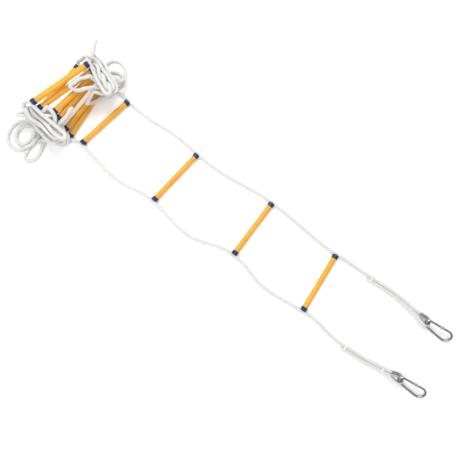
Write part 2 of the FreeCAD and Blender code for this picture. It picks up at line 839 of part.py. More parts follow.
def hook_gate(name):
    """The gate: a round bar with a ball end about the pivot. A slot takes the hook's tongue, a bore
    behind it holds the spring, and a slot and a notch at the tip let the latch out towards +Y."""
    width, thickness = dim("hook_wire"), dim("slot_thickness")
    latch_room = dim("latch_dia") / 2 + dim("latch_gap")
    ball = doc.addObject("Part::Sphere", f"{name}_ball")
    bind(ball, Radius="hook_wire / 2")
    ball.Placement = on_gate(dim("pivot_at"))
    bar = round_bar(
        f"{name}_rod", "hook_wire", "gate_end - pivot_at", on_gate(dim("pivot_at"), turn=LAY_ALONG_X)
    )
    slot_end = dim("pivot_at") + width / 2 + OVERLAP
    tools = [
        slab(
            f"{name}_pivot_slot",
            f"hook_wire + {OVERLAP}",
            "hook_wire * 2",
            "slot_thickness",
            on_gate(slot_end - width - OVERLAP, -width, -thickness / 2),
        ),
        slab(
            f"{name}_latch_slot",
            "hook_wire",
            "hook_wire * 2",
            "slot_thickness",
            on_gate(dim("latch_at") - latch_room, -width, -thickness / 2),
        ),
        slab(
            f"{name}_latch_notch",
            "latch_dia + 2 * latch_gap",
            "hook_wire",
            "hook_wire * 2",
            on_gate(dim("latch_at") - latch_room, -latch_room, -width),
        ),
        round_bar(
            f"{name}_spring_bore",
            "spring_bore",
            f"plunger_length + spring_length + {OVERLAP}",
            on_gate(slot_end - OVERLAP, turn=LAY_ALONG_X),
        ),
        round_bar(
            f"{name}_rivet_hole", "rivet_dia", "hook_wire", on_gate(dim("pivot_at"), 0, -width / 2)
        ),
    ]
    whole = joined(f"{name}_blank", [bar, ball])
    return less(f"{name}_machined", whole, joined(f"{name}_cuts", tools))


def gate_rivet(name):
    """The rivet that the gate turns on, along Z."""
    body = doc.addObject("PartDesign::Body", name)
    circle = sketch_on(body, f"{name}_circle", "XY_Plane")
    draw_circle(circle, "shank", "rivet_dia")
    shank = body.newObject("PartDesign::Pad", f"{name}_shank")
    shank.Profile = circle
    shank.Midplane = True
    shank.setExpression("Length", linked("rivet_length"))
    return body


def gate_plunger(name):
    """The round pin that the spring pushes against the hook's tongue, along X."""
    tip = "spring_wire"
    return turned_body(
        name,
        [
            ("0", "0"),
            ("0", f"plunger_dia / 2 - {tip}"),
            (tip, "plunger_dia / 2"),
            ("plunger_length", "plunger_dia / 2"),
            ("plunger_length", "0"),
        ],
        "H_Axis",
    )


def gate_spring():
    """The coil spring behind the plunger, along Z from its own origin."""
    radius = (dim("spring_coil_dia") - dim("spring_wire")) / 2
    helix = Part.makeHelix(dim("spring_pitch"), dim("spring_length") - dim("spring_wire"), radius)
    start = Vector(radius, 0, 0)
    section = Part.Wire(Part.Circle(start, Vector(0, 1, 0), dim("spring_wire") / 2).toShape())
    sweep = Part.BRepOffsetAPI.MakePipeShell(Part.Wire(helix))
    sweep.setFrenetMode(True)
    sweep.add(section, False, False)
    sweep.build()
    sweep.makeSolid()
    return sweep.shape()


def lock_sleeve(name):
    """The threaded sleeve that runs along the gate and locks it to the nose, along X."""
    bore = "hook_wire / 2 + thread_gap"
    return turned_body(
        name,
        [
            ("0", bore),
            ("0", "sleeve_dia / 2 - sleeve_chamfer"),
            ("sleeve_chamfer", "sleeve_dia / 2"),
            ("sleeve_length - sleeve_chamfer", "sleeve_dia / 2"),
            ("sleeve_length", "sleeve_dia / 2 - sleeve_chamfer"),
            ("sleeve_length", bore),
        ],
        "H_Axis",
    )


def add_hooks():
    """A snap hook on each eye, with its gate, rivet, spring, plunger and lock sleeve."""
    plunger_start = dim("pivot_at") + dim("hook_wire") / 2 + dim("thread_gap")
    spring_start = plunger_start + dim("plunger_length") + dim("spring_wire") / 2
    for name in SIDES:
        frame = hook_frame(name)
        keep(hook_body(f"hook_{name}"), f"hook_body_{name}", frame)
        keep(hook_gate(f"gate_{name}"), f"hook_gate_{name}", frame)
        keep(gate_rivet(f"rivet_{name}"), f"gate_rivet_{name}", frame.multiply(on_gate(dim("pivot_at"))))
        keep(
            gate_plunger(f"plunger_{name}"), f"gate_plunger_{name}", frame.multiply(on_gate(plunger_start))
        )
        spring_place = frame.multiply(on_gate(spring_start, turn=LAY_ALONG_X))
        keep(code_shape(f"spring_{name}", gate_spring()), f"gate_spring_{name}", spring_place)
        keep(
            lock_sleeve(f"sleeve_{name}"),
            f"lock_sleeve_{name}",
            frame.multiply(on_gate(dim("sleeve_start"))),
        )


# --------------------------------------------------------------- coiled rope

# Rope that stands out of each coil, as places along, across and above the floor. The approach ends at
# rung 4.
LOOPS = {
    "left": {
        "outer_loop": [(-1172, 150, 92), (-1184, 182, 90), (-1176, 210, 88), (-1146, 214, 84),
                       (-1114, 190, 78), (-1112, 158, 72), (-1135, 135, 70)],
        "free_end": [(-1240, 150, 138), (-1242, 175, 148), (-1248, 200, 150), (-1260, 222, 148)],
        "upper_bight": [(-1134, 130, 134), (-1144, 94, 150), (-1176, 76, 160), (-1200, 52, 162),
                        (-1198, 28, 162), (-1170, 30, 156), (-1140, 70, 136), (-1132, 130, 112)],
        "lower_bight": [(-1136, 128, 86), (-1126, 84, 84), (-1134, 50, 72), (-1142, 14, 58)],
    },
    "right": {
        "big_loop": [(-1345, -160, 45), (-1366, -215, 36), (-1364, -272, 20), (-1342, -300, 12),
                     (-1306, -304, 10), (-1284, -282, 14), (-1276, -240, 26), (-1270, -160, 40)],
        "low_loop": [(-1262, -165, 10), (-1274, -230, 8), (-1282, -286, 6.5), (-1256, -310, 6.5),
                     (-1228, -306, 6.5), (-1220, -276, 6.5), (-1226, -240, 8), (-1240, -165, 10)],
        "cross_strand": [(-1196, -140, 104), (-1192, -105, 106), (-1190, -48, 106), (-1187, 10, 106)],
    },
}
APPROACHES = {
    "left": [(-1190, 146, 8), (-1140, 141, 7.5)],
    "right": [(-1196, -162, 30), (-1178, -151, 33), (-1160, -139, 33.5), (-1144, -128, 24)],
}


def above_floor(points):
    """Places given as heights above the floor, in the ladder's frame."""
    return [Vector(x, y, z - dim("cap_dia") / 2) for x, y, z in points]


def loop_rope(points):
    """One loop of rope through a few places."""
    return pipe(Part.Wire(smooth_edge(above_floor(points))), dim("rope_dia") / 2)


def coil_pad(name, side):
    """The pad that a coil's close-packed strands fill, with rounded edges."""
    floor = -dim("cap_dia") / 2
    start = Vector(dim(f"coil_{name}_start"), side * dim(f"coil_{name}_inner"), floor)
    width = dim(f"coil_{name}_width")
    if side < 0:
        start.y -= width
    pad = Part.makeBox(dim(f"coil_{name}_length"), width, dim("coil_height"), start)
    return pad.makeFillet(dim("coil_round"), pad.Edges)


def rung_clearance(frame):
    """The room that a bundled rung and its cord take up, along the rung."""
    reach = number(CORD_END) + dim("coil_gap")
    radius = dim("cap_dia") / 2 + dim("coil_gap")
    return placed(Part.makeCylinder(radius, 2 * reach, Vector(0, -reach, 0), Vector(0, 1, 0)), frame)


def approach_rope(name, side):
    """The rope that comes out of a coil and ends in its half lap at rung 4."""
    frame = rung_frame(LAID_OUT[-1])
    end = rope_point(frame, side, -dim("lap_straight"))
    points = [*above_floor(APPROACHES[name]), end]
    forward = frame.Rotation.multVec(Vector(1, 0, 0))
    wire = Part.Wire(
        [
            smooth_edge(points, points[1] - points[0], forward * (end - points[-2]).Length),
            Part.makeLine(end, rope_point(frame, side, dim("rope_dia") / 2)),
        ]
    )
    return lapped(pipe(wire, dim("rope_dia") / 2), frame, side, leaving=False)


def add_coils():
    """The coiled rope at each end of the stacked rungs, one solid a side with its loops, its free end
    and the rope that runs from it to rung 4."""
    room = [rung_clearance(rung_frame(rung)) for rung in BUNDLED]
    for name, side in SIDES.items():
        coil = coil_pad(name, side).cut(room)
        for points in LOOPS[name].values():
            coil = coil.fuse(loop_rope(points))
        coil = coil.fuse(approach_rope(name, side))
        keep(code_shape(f"coil_{name}", coil), f"rope_coil_{name}")


# --------------------------------------------------------------- check, write


def check_document():
    """Stop if any object failed to build, or any sub-part isn't one or more sound solids."""
    failed = [o.Name for o in doc.Objects if {"Invalid", "Error"} & set(o.State)]
    if failed:
        raise RuntimeError(f"these objects failed: {failed}")
    for part in parts:
        if part.Shape.isNull() or not part.Shape.isValid() or not part.Shape.Solids:
            raise RuntimeError(f"{part.Label} is not a valid solid")


def write_parts():
    """Write each sub-part to a STEP file named after it."""
    os.makedirs("parts", exist_ok=True)
    for part in parts:
        part.Shape.exportStep(f"parts/{part.Label}.step")


fill_sheet()
add_laid_out_rungs()
add_bundled_rungs()
add_bay_ropes()
add_eye_ropes()
add_eye_fittings()
add_hooks()
add_coils()
doc.recompute()
check_document()
write_parts()
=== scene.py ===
import heapq
import json
import math

import bpy
import numpy as np
from mathutils import Matrix, Vector


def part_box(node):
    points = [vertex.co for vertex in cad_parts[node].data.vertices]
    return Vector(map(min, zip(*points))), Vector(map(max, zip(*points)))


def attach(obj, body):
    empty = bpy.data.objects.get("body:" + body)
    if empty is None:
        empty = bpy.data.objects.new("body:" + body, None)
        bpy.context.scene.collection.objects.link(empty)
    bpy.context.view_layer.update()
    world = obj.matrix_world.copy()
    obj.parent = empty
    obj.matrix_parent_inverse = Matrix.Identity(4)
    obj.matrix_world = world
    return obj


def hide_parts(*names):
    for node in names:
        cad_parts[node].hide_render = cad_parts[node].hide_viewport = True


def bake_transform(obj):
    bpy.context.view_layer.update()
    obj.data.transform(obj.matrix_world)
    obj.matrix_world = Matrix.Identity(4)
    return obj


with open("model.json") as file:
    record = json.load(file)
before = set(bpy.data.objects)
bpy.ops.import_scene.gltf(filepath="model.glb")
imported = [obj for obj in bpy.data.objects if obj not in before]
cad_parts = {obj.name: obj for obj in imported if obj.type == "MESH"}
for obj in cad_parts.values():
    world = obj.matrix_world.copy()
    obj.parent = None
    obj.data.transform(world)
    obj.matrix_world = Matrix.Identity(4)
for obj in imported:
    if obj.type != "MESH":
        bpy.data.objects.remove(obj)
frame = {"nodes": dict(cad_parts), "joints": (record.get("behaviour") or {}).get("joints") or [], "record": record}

# The looks of an escape rope ladder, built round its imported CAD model. Everything is in metres, in the
# model's own frame: +X runs along the ladder to its snap hooks, +Y to its left rope and +Z up.

NODES = frame["nodes"]
JOINTS = {joint["name"]: joint for joint in frame["joints"]}
BODIES = frame["record"]["behaviour"]["bodies"]
NODE_BODY = {node: body for body, nodes in BODIES.items() for node in nodes}
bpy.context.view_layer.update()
MM = 0.001
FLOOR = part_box("rung_01_cap_left")[0].z
SIDES = {"left": 1, "right": -1}

# Rungs are numbered from the hooks. The first four are laid out and the others lie in the bundle: here
# in the order that the ropes pass them, from their free ends.
RUNG_COUNT = sum(node.endswith("_tube") for node in NODES)
BUNDLED = (12, 10, 11, 9, 8, 7, 6, 5)
LAID_OUT = (4, 3, 2, 1)

# Rope: its size, and the relief of its braid
ROPE_RADIUS = 6 * MM
ROPE_STEP = 1.5 * MM
ROPE_AROUND = 32
BRAID_YARNS = 8
BRAID_PITCH = 11 * MM
BRAID_RELIEF = 0.32 * MM
MEAN_RADIUS = ROPE_RADIUS - 0.5 * BRAID_RELIEF

# Slack rope swells, because no load draws its braid tight. The swelling dies away over one reach before
# the rope leaves the bundle. It is half as large where a rung's cord grips the rope.
SLACK_SWELL = 1.30
SLACK_RADIUS = ROPE_RADIUS * SLACK_SWELL
SWELL_REACH = 60 * MM
GRIP_REACH = 22 * MM
GRIPPED_SLACKNESS = 0.5

# A reach of rope each way from a rung, and where a rope leaves the bundle before the first laid-out
# rung
BEND_REACH = 40 * MM
BUNDLE_EDGE = 1.5 * BEND_REACH

# CAD rope within this distance of a rung is cut to a half lap, so it doesn't show the centre line. The
# rest is traced in short steps, each from the mean of its vertices.
LAP_REACH = 27 * MM
TRACE_STEP = 5 * MM
TRACE_LEAST = 4
MERGE_GRID = 0.01 * MM

# Rounds of smoothing: of the coils, of the curves between laid-out rungs, and of the whole rope
COIL_ROUNDS = 60
EASING_ROUNDS = 1000
WHOLE_ROUNDS = 12

# Rungs: the moulded ribs round the tube
TUBE_RADIUS = 11 * MM
TUBE_BORE = 8.8 * MM
RIB_PITCH = 4.4 * MM
RIB_DEPTH = 0.55 * MM
RINGS_PER_RIB = 6
TUBE_AROUND = 44
CAP_RADIUS = 12.5 * MM

# Edges steeper than this stay crisp, in degrees: on the pieces built here and on the CAD's own
CREASE = 40
CAD_CREASE = 35

# A direction with a greater upward part than this counts as upright
UPRIGHT = 0.995
# Guard divisions by a length or an area that may be nothing, in metres
TINY = 1e-6
TINY_AREA = 1e-12


# ---- geometry ----


def unit(vector):
    """A vector's direction."""
    return vector / np.linalg.norm(vector)


def vertices_of(node):
    """The vertices of a CAD node, one row each."""
    places = np.empty(len(node.data.vertices) * 3)
    node.data.vertices.foreach_get("co", places)
    return places.reshape(-1, 3)


def rung_line(number):
    """The middle of a rung and its direction, towards the left rope."""
    places = vertices_of(NODES[f"rung_{number:02d}_tube"])
    middle = (places.max(0) + places.min(0)) / 2
    direction = np.linalg.svd(places - middle, full_matrices=False)[2][0]
    return middle, direction * np.sign(direction[1])


RUNGS = {number: rung_line(number) for number in range(1, RUNG_COUNT + 1)}

# Half of the distance between the two ropes' centre lines: a tie cord reaches to their outer sides
CORD_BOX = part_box("rung_02_tie_cord")
HALF_GAUGE = (CORD_BOX[1].y - CORD_BOX[0].y) / 2 - ROPE_RADIUS


def saddle(number, side):
    """The point where a side rope's centre line crosses the end of a rung."""
    middle, direction = RUNGS[number]
    return middle + direction * SIDES[side] * HALF_GAUGE


def forward(number):
    """The direction of a rope where it crosses a rung, towards the hooks."""
    direction = RUNGS[number][1]
    return np.array([direction[1], -direction[0], 0.0])


def nearest(line, place):
    """The index of the point of a line nearest to a place."""
    return int(np.argmin(np.linalg.norm(line - place, axis=1)))


def evenly(line, step):
    """The same line with its points about one step apart."""
    lengths = np.linalg.norm(np.diff(line, axis=0), axis=1)
    travelled = np.concatenate([[0], np.cumsum(lengths)])
    count = max(2, round(travelled[-1] / step) + 1)
    places = np.linspace(0, travelled[-1], count)
    return np.stack([np.interp(places, travelled, line[:, axis]) for axis in range(3)], axis=1)


def through(points, step):
    """A smooth line through points, with its own points about one step apart."""
    points = np.asarray(points, float)
    chords = np.linalg.norm(np.diff(points, axis=0), axis=1)
    knots = np.concatenate([[0], np.cumsum(chords)])
    slopes = np.gradient(points, knots, axis=0)
    places = np.linspace(0, knots[-1], int(2 * knots[-1] / step) + 2)
    piece = np.clip(np.searchsorted(knots, places, side="right") - 1, 0, len(chords) - 1)
    length = chords[piece][:, None]
    share = (places[:, None] - knots[piece][:, None]) / length
    left = 1 - share
    line = (1 + 2 * share) * left**2 * points[piece]
    line += share * left**2 * length * slopes[piece]
    line += (3 - 2 * share) * share**2 * points[piece + 1]
    line -= left * share**2 * length * slopes[piece + 1]
    return evenly(line, step)


def relaxed(line, rounds, held=()):
    """The line with its small kinks smoothed away. Its ends and the held points stay."""
    line = line.copy()
    kept = {index: line[index].copy() for index in held}
    for _ in range(rounds):
        line[1:-1] += 0.5 * ((line[:-2] + line[2:]) / 2 - line[1:-1])
        for index, place in kept.items():
            line[index] = place
    return line


def directions_along(line):
    """Tangent, side and up directions along a line, turned no more than the line bends."""
    tangents = np.gradient(line, axis=0)
    tangents /= np.linalg.norm(tangents, axis=1)[:, None]
    sides = np.empty_like(line)
    upright = abs(tangents[0][2]) > UPRIGHT
    sides[0] = unit(np.cross(tangents[0], (0, 1, 0) if upright else (0, 0, 1)))
    for i in range(1, len(line)):
        sides[i] = unit(sides[i - 1] - tangents[i] * (sides[i - 1] @ tangents[i]))
    return tangents, sides, np.cross(tangents, sides)


# ---- meshes ----


def mesh_object(name, places, faces, smooth=True):
    """A mesh object from vertex rows and faces."""
    mesh = bpy.data.meshes.new(name)
    mesh.from_pydata(places.tolist(), [], faces)
    mesh.update()
    mesh.polygons.foreach_set("use_smooth", [smooth] * len(mesh.polygons))
    thing = bpy.data.objects.new(name, mesh)
    bpy.context.scene.collection.objects.link(thing)
    return thing


def sharpen(thing, degrees):
    """Mark edges between faces that meet at a steep angle, so that they stay crisp."""
    thing.data.set_sharp_from_angle(angle=math.radians(degrees))


def grid_faces(rows, columns, closed_rows=False):
    """Quads between rings of points. With closed_rows, the last ring joins the first."""
    row = np.arange(rows if closed_rows else rows - 1)[:, None]
    column = np.arange(columns)[None, :]
    ahead, aside = (row + 1) % rows, (column + 1) % columns
    steps = ((row, column), (row, aside), (ahead, aside), (ahead, column))
    corners = [ring * columns + place for ring, place in steps]
    return np.stack(np.broadcast_arrays(*corners), axis=-1).reshape(-1, 4).tolist()


def capped_faces(rows, columns):
    """Quads between rings of points, and a flat face on the first and on the last ring."""
    first = list(range(columns))
    last = [(rows - 1) * columns + place for place in first]
    return [*grid_faces(rows, columns), first[::-1], last]


def add_ring_uv(thing, rows, columns, along):
    """A UV map on a swept surface: u once round, v the distance along in metres."""
    row = np.arange(rows - 1)[:, None]
    column = np.arange(columns)[None, :]
    steps = ((0, 0), (0, 1), (1, 1), (1, 0))
    turns = np.stack([np.broadcast_to(column + across, (rows - 1, columns)) for _, across in steps], -1)
    places = np.stack([np.broadcast_to(along[row + ahead], (rows - 1, columns)) for ahead, _ in steps], -1)
    swept = np.stack([turns.reshape(-1) / columns, places.reshape(-1)], axis=1)
    layer = thing.data.uv_layers.new(name="surface")
    spots = np.zeros((len(thing.data.loops), 2))
    spots[: len(swept)] = swept
    layer.data.foreach_set("uv", spots.reshape(-1))


def swept_piece(name, rings, along):
    """A closed solid through rings of points, with a flat end on its first and last ring."""
    rows, columns = rings.shape[:2]
    thing = mesh_object(name, rings.reshape(-1, 3), capped_faces(rows, columns))
    add_ring_uv(thing, rows, columns, along)
    return thing


def tube_piece(name, outside, inside):
    """A closed tube from the rings of its outside and of its bore, with crisp edges."""
    rings = np.concatenate([outside, inside[::-1]])
    rows, columns = rings.shape[:2]
    thing = mesh_object(name, rings.reshape(-1, 3), grid_faces(rows, columns, closed_rows=True))
    sharpen(thing, CREASE)
    return thing


def rings_round(line, radius_at, around):
    """Rings of points round a line, by radius_at(angle, distance), and the distance along it."""
    _, sides, ups = directions_along(line)
    lengths = np.linalg.norm(np.diff(line, axis=0), axis=1)
    along = np.concatenate([[0], np.cumsum(lengths)])
    angles = np.linspace(0, 2 * math.pi, around, endpoint=False)
    radii = radius_at(angles[None, :], along[:, None])[..., None]
    cosines, sines = np.cos(angles)[None, :, None], np.sin(angles)[None, :, None]
    return line[:, None] + radii * (cosines * sides[:, None] + sines * ups[:, None]), along


def plain_rings(line, radius, around):
    """Rings of points round a line, all of one radius."""
    rings, _ = rings_round(line, lambda angle, along: radius + 0 * (angle + along), around)
    return rings


def put_in_place(piece, material, node):
    """Give a piece its material, and let it stand for a CAD node."""
    piece.data.materials.append(MATERIALS[material])
    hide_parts(node)


def braid_radius(angle, along, slack):
    """The radius of a braided rope: a crown wherever one yarn crosses over another. Slack is 0 where the
    rope is drawn tight and 1 where it is loose."""
    turns = angle / (2 * math.pi) * BRAID_YARNS
    first = (turns + along / BRAID_PITCH * BRAID_YARNS / 2) % 1.0
    second = (turns - along / BRAID_PITCH * BRAID_YARNS / 2) % 1.0
    crown = np.sin(math.pi * first) * np.sin(math.pi * second)
    return (MEAN_RADIUS + BRAID_RELIEF * (crown - 0.5)) * (1 + (SLACK_SWELL - 1) * slack)


# ---- centre lines of CAD ropes ----


def rope_centres(node):
    """For a swept CAD rope: its vertices moved in along their normals onto its centre line, the vertices
    themselves, and its triangles. Vertices at one place are merged."""
    places = vertices_of(node)
    cells = np.round(places / MERGE_GRID).astype(int)
    _, first, merged = np.unique(cells, axis=0, return_index=True, return_inverse=True)
    node.data.calc_loop_triangles()
    corners = np.empty(len(node.data.loop_triangles) * 3, int)
    node.data.loop_triangles.foreach_get("vertices", corners)
    corners = merged.reshape(-1)[corners.reshape(-1, 3)]
    points = places[first]
    a, b, c = (points[corners[:, column]] for column in range(3))
    across = np.cross(b - a, c - a)
    normals = np.zeros_like(points)
    for column in range(3):
        np.add.at(normals, corners[:, column], across)
    normals /= np.maximum(np.linalg.norm(normals, axis=1), TINY_AREA)[:, None]
    return points - normals * ROPE_RADIUS, points, corners


def edges_between(centres, triangles, usable):
    """For each point, its neighbours over the triangles' edges and how far away they are, leaving out
    the points that aren't usable."""
    neighbours = [[] for _ in centres]
    for a, b in np.concatenate([triangles[:, :2], triangles[:, 1:], triangles[:, ::2]]):
        if usable[a] and usable[b]:
            length = float(np.linalg.norm(centres[a] - centres[b]))
            neighbours[a].append((int(b), length))
            neighbours[b].append((int(a), length))
    return neighbours


def distances_from(first, neighbours):
    """The shortest way along edges from one point to each point that it reaches."""
    travelled = {first: 0.0}
    queue = [(0.0, first)]
    while queue:
        distance, here = heapq.heappop(queue)
        if distance > travelled[here]:
            continue
        for there, length in neighbours[here]:
            if distance + length < travelled.get(there, math.inf):
                travelled[there] = distance + length
                heapq.heappush(queue, (distance + length, there))
    return travelled


def traced_rope(node, start, hinges):
    """A CAD rope's centre line in order from its start, without its half laps at the hinges."""
    centres, points, triangles = rope_centres(node)
    clear = np.ones(len(points), bool)
    for hinge in hinges:
        clear &= np.linalg.norm(points - hinge, axis=1) > LAP_REACH
    usable = np.flatnonzero(clear)
    first = int(usable[nearest(centres[usable], start)])
    travelled = distances_from(first, edges_between(centres, triangles, clear))
    order = sorted(travelled, key=travelled.get)
    groups = [[order[0]]]
    for index in order[1:]:
        if travelled[index] - travelled[groups[-1][0]] > TRACE_STEP:
            groups.append([])
        groups[-1].append(index)
    return np.array([centres[group].mean(0) for group in groups if len(group) >= TRACE_LEAST])


def laid_out_line(side):
    """One side rope's centre line from the first laid-out rung to its end beyond the eye."""
    parts = [saddle(LAID_OUT[0], side)[None]]
    for before, after in zip(LAID_OUT, LAID_OUT[1:]):
        ends = [saddle(before, side), saddle(after, side)]
        parts += [traced_rope(NODES[f"rope_bay_{after}_{side}"], ends[0], ends), ends[1][None]]
    last = saddle(LAID_OUT[-1], side)
    # The flat end of the rope pulls its last traced point back, so that point is left out
    parts.append(traced_rope(NODES[f"eye_rope_{side}"], last, [last])[:-1])
    return np.concatenate(parts)


# ---- the coils ----

# How the slack settles: the spacing of its points, the number of rounds, and the rounds between two
# searches for touching strands. In each round it sinks a little, a share of its kinks is smoothed away,
# and each of two strands gives way by a share of their overlap.
SETTLE_STEP = 6 * MM
SETTLE_ROUNDS = 200
PAIR_REFRESH = 8
SINK = 0.12 * MM
SMOOTHING = 0.05
PUSH_SHARE = 0.35

# Strands nearer than this may touch before the next search, unless one short stretch joins them
NEAR = 4 * SLACK_RADIUS
SHORT_STRETCH = math.pi * SLACK_RADIUS

# The rungs that hold the coils, how far a rung's cord keeps the rope straight each way, and how far
# inside the rope's centre line a rung ends
HOLDING = BUNDLED + LAID_OUT[:1]
CORD_GRIP = 8 * MM
RUNG_SETBACK = 0.2 * MM

# The slack lies in parallel tracks across each end of the stack: where the first track's back and front
# ends are, and the step from there to the next track, in mm along and across
TRACKS = {
    "left": {
        "back": (-1240, 130), "back_step": (0, 17.0),
        "front": (-1080, 76), "front_step": (0, 16.5),
    },
    "right": {
        "back": (-1296, -120), "back_step": (-14, -17),
        "front": (-1101, -148), "front_step": (-12, -17),
    },
}

# A bay of slack leaves its rung forwards on one track, turns, and comes back on another to the next rung
# down: the two tracks, the height above the floor at the front and the back, and where it turns as
# shares of the track's length. Bays are named after the rung that they leave.
TRACK_BAYS = {
    ("left", 12): (0, 1, 150, 146, 1.00, 0.06),
    ("left", 10): (1.2, 2.1, 142, 156, 0.97, 0.12),
    ("left", 11): (0.9, 3, 132, 138, 0.96, 0.00),
    ("right", 12): (0, 1, 142, 146, 0.96, 0.02),
    ("right", 10): (1, 2, 130, 136, 0.86, 0.00),
    ("right", 11): (2.2, 3.2, 104, 110, 0.90, 0.04),
    ("right", 9): (0.8, 2.5, 92, 88, 0.80, 0.06),
}

# The shape of such a bay. The slack joins its track at one share of the track's length and passes
# another on its way home. A half turn between two neighbouring tracks takes a share of a track's length
# and bulges by a share of itself. On its way down the slack shifts by a part of a track.
JOINS_AT, HOMEWARD_AT = 0.62, 0.5
TURN_SHARE, TURN_BULGE = 0.10, 0.2
DOWN_SHIFT = 0.2
# In mm: how far above the middle height the slack sets out, and how far it has dropped after the front
# turn, in the back turn and at the end of it
START_LIFT, FRONT_DROP, BACK_DROP, END_DROP = 3, 2, 6, 10

# Places in mm along, across and above the floor that a bay passes on its way to its track, and on its
# way from there to the next rung: an arch round a cap, and a hump that lies on one
DEPARTURES = {("right", 10): [(-1250, -108, 154), (-1234, -97, 156), (-1212, -97, 152), (-1194, -112, 140)]}
ARRIVALS = {
    ("left", 10): [
        (-1218, 156, 168), (-1232, 142, 174), (-1244, 130, 170), (-1262, 122, 154), (-1286, 114, 130),
    ],
    ("right", 11): [(-1356, -196, 100), (-1346, -166, 94), (-1300, -132, 98), (-1254, -104, 108)],
}

# The places of bays that do something else: a bight over the rungs, or a big loop beside them
SPECIAL_BAYS = {
    ("left", 9): [
        (-1160, 140, 122), (-1140, 118, 124), (-1150, 103, 132), (-1165, 98, 144), (-1180, 94, 156),
        (-1194, 82, 161), (-1203, 62, 161), (-1211, 37, 161), (-1218, 14, 160), (-1216, 4, 158),
        (-1205, 9, 154), (-1188, 24, 148), (-1169, 40, 150), (-1156, 62, 146), (-1151, 88, 132),
        (-1140, 112, 122), (-1128, 130, 112), (-1152, 148, 102), (-1200, 164, 100), (-1244, 170, 98),
        (-1252, 156, 92), (-1230, 150, 90),
    ],
    ("left", 8): [
        (-1160, 138, 92), (-1122, 116, 98), (-1108, 92, 108), (-1124, 78, 116), (-1141, 70, 118),
        (-1156, 58, 116), (-1163, 38, 110), (-1167, 20, 98), (-1169, 8, 82), (-1171, 10, 66),
        (-1172, 28, 60), (-1166, 50, 56), (-1150, 74, 54), (-1128, 100, 58), (-1134, 138, 64),
        (-1200, 168, 66), (-1262, 160, 70), (-1262, 144, 66), (-1240, 141, 64),
    ],
    ("left", 7): [
        (-1150, 140, 76), (-1124, 150, 84), (-1112, 176, 90), (-1124, 208, 90), (-1153, 226, 90),
        (-1184, 222, 90), (-1203, 204, 90), (-1206, 180, 86), (-1234, 166, 74), (-1262, 150, 58),
        (-1246, 138, 44),
    ],
    ("left", 6): [
        (-1140, 134, 44), (-1114, 146, 58), (-1112, 172, 70), (-1133, 192, 76), (-1160, 188, 74),
        (-1200, 168, 52), (-1250, 144, 26), (-1246, 128, 16),
    ],
    ("right", 8): [
        (-1174, -128, 78), (-1156, -148, 70), (-1178, -180, 66), (-1240, -188, 60), (-1312, -196, 52),
        (-1348, -224, 42), (-1350, -256, 36), (-1326, -280, 32), (-1292, -274, 32), (-1276, -244, 36),
        (-1284, -204, 46), (-1284, -160, 58), (-1258, -130, 62),
    ],
    ("right", 7): [
        (-1172, -130, 56), (-1152, -152, 50), (-1178, -186, 44), (-1240, -196, 40), (-1330, -182, 44),
        (-1374, -210, 36), (-1382, -254, 24), (-1362, -298, 12), (-1324, -312, 12), (-1286, -298, 18),
        (-1266, -264, 26), (-1262, -220, 30), (-1266, -168, 34), (-1250, -136, 38), (-1222, -130, 38),
    ],
    ("right", 6): [
        (-1160, -134, 34), (-1148, -156, 28), (-1176, -186, 18), (-1226, -194, 12), (-1258, -220, 8),
        (-1272, -262, 6), (-1268, -302, 6), (-1246, -319, 6), (-1224, -306, 6), (-1218, -272, 6),
        (-1234, -220, 8), (-1238, -166, 10), (-1214, -146, 12), (-1190, -141, 12),
    ],
}

# From each rope's free end to the first rung that holds it
FREE_ENDS = {
    "left": [
        (-1257, 222, 150), (-1246, 199, 150), (-1235, 175, 156), (-1226, 152, 168), (-1222, 138, 176),
    ],
    "right": [
        (-1188, -36, 92), (-1190, -52, 100), (-1192, -74, 108), (-1191, -98, 114), (-1186, -124, 118),
        (-1188, -152, 118), (-1214, -166, 118), (-1264, -168, 120), (-1316, -166, 122), (-1338, -146, 136),
        (-1318, -124, 160),
    ],
}

# Places where friction holds a loop up: the free end that stands out, the bights over the rungs, and
# the end that is tucked between two rungs
HELD_PLACES = {
    "left": [
        (-1257, 222, 150), (-1246, 200, 150), (-1180, 94, 156), (-1203, 62, 161), (-1218, 14, 160),
        (-1169, 40, 150), (-1156, 58, 116), (-1171, 10, 66), (-1232, 142, 174),
    ],
    "right": [(-1188, -36, 92), (-1190, -52, 100), (-1234, -97, 156)],
}

# Where each rope passes on its way from the last bundled rung to the first laid-out one
APPROACHES = {
    "left": [(-1150, 128, 8)],
    "right": [(-1148, -134, 14)],
}


def above_floor(places):
    """Places given in mm along, across and above the floor, in the model's frame."""
    return np.array(places, float) * MM + np.array([0, 0, FLOOR])


def track_point(side, track, share, height):
    """A place on a track in mm, at a share of the way from its back end to its front end."""
    lie = TRACKS[side]
    back = np.add(lie["back"], np.multiply(track, lie["back_step"]))
    front = np.add(lie["front"], np.multiply(track, lie["front_step"]))
    return np.array([*(back + (front - back) * share), height])


def track_bay(side, upper):
    """The slack after a rung that lies on two tracks, in mm."""
    out, home, front_height, back_height, front, back = TRACK_BAYS[side, upper]
    turn = abs(home - out) / 2 * TURN_SHARE
    middle = (out + home) / 2
    half_way = (front_height + back_height) / 2
    places = DEPARTURES.get((side, upper), []) + [
        track_point(side, out, JOINS_AT, half_way + START_LIFT),
        track_point(side, out, front - turn, front_height),
        track_point(side, middle, front + TURN_BULGE * turn, front_height),
        track_point(side, home, front - turn, front_height - FRONT_DROP),
        track_point(side, home, HOMEWARD_AT, half_way),
        track_point(side, home, back + turn, back_height),
    ]
    down = [
        track_point(side, middle, back - turn, back_height - BACK_DROP),
        track_point(side, out + DOWN_SHIFT, back + turn, back_height - END_DROP),
    ]
    return places + ARRIVALS.get((side, upper), down)


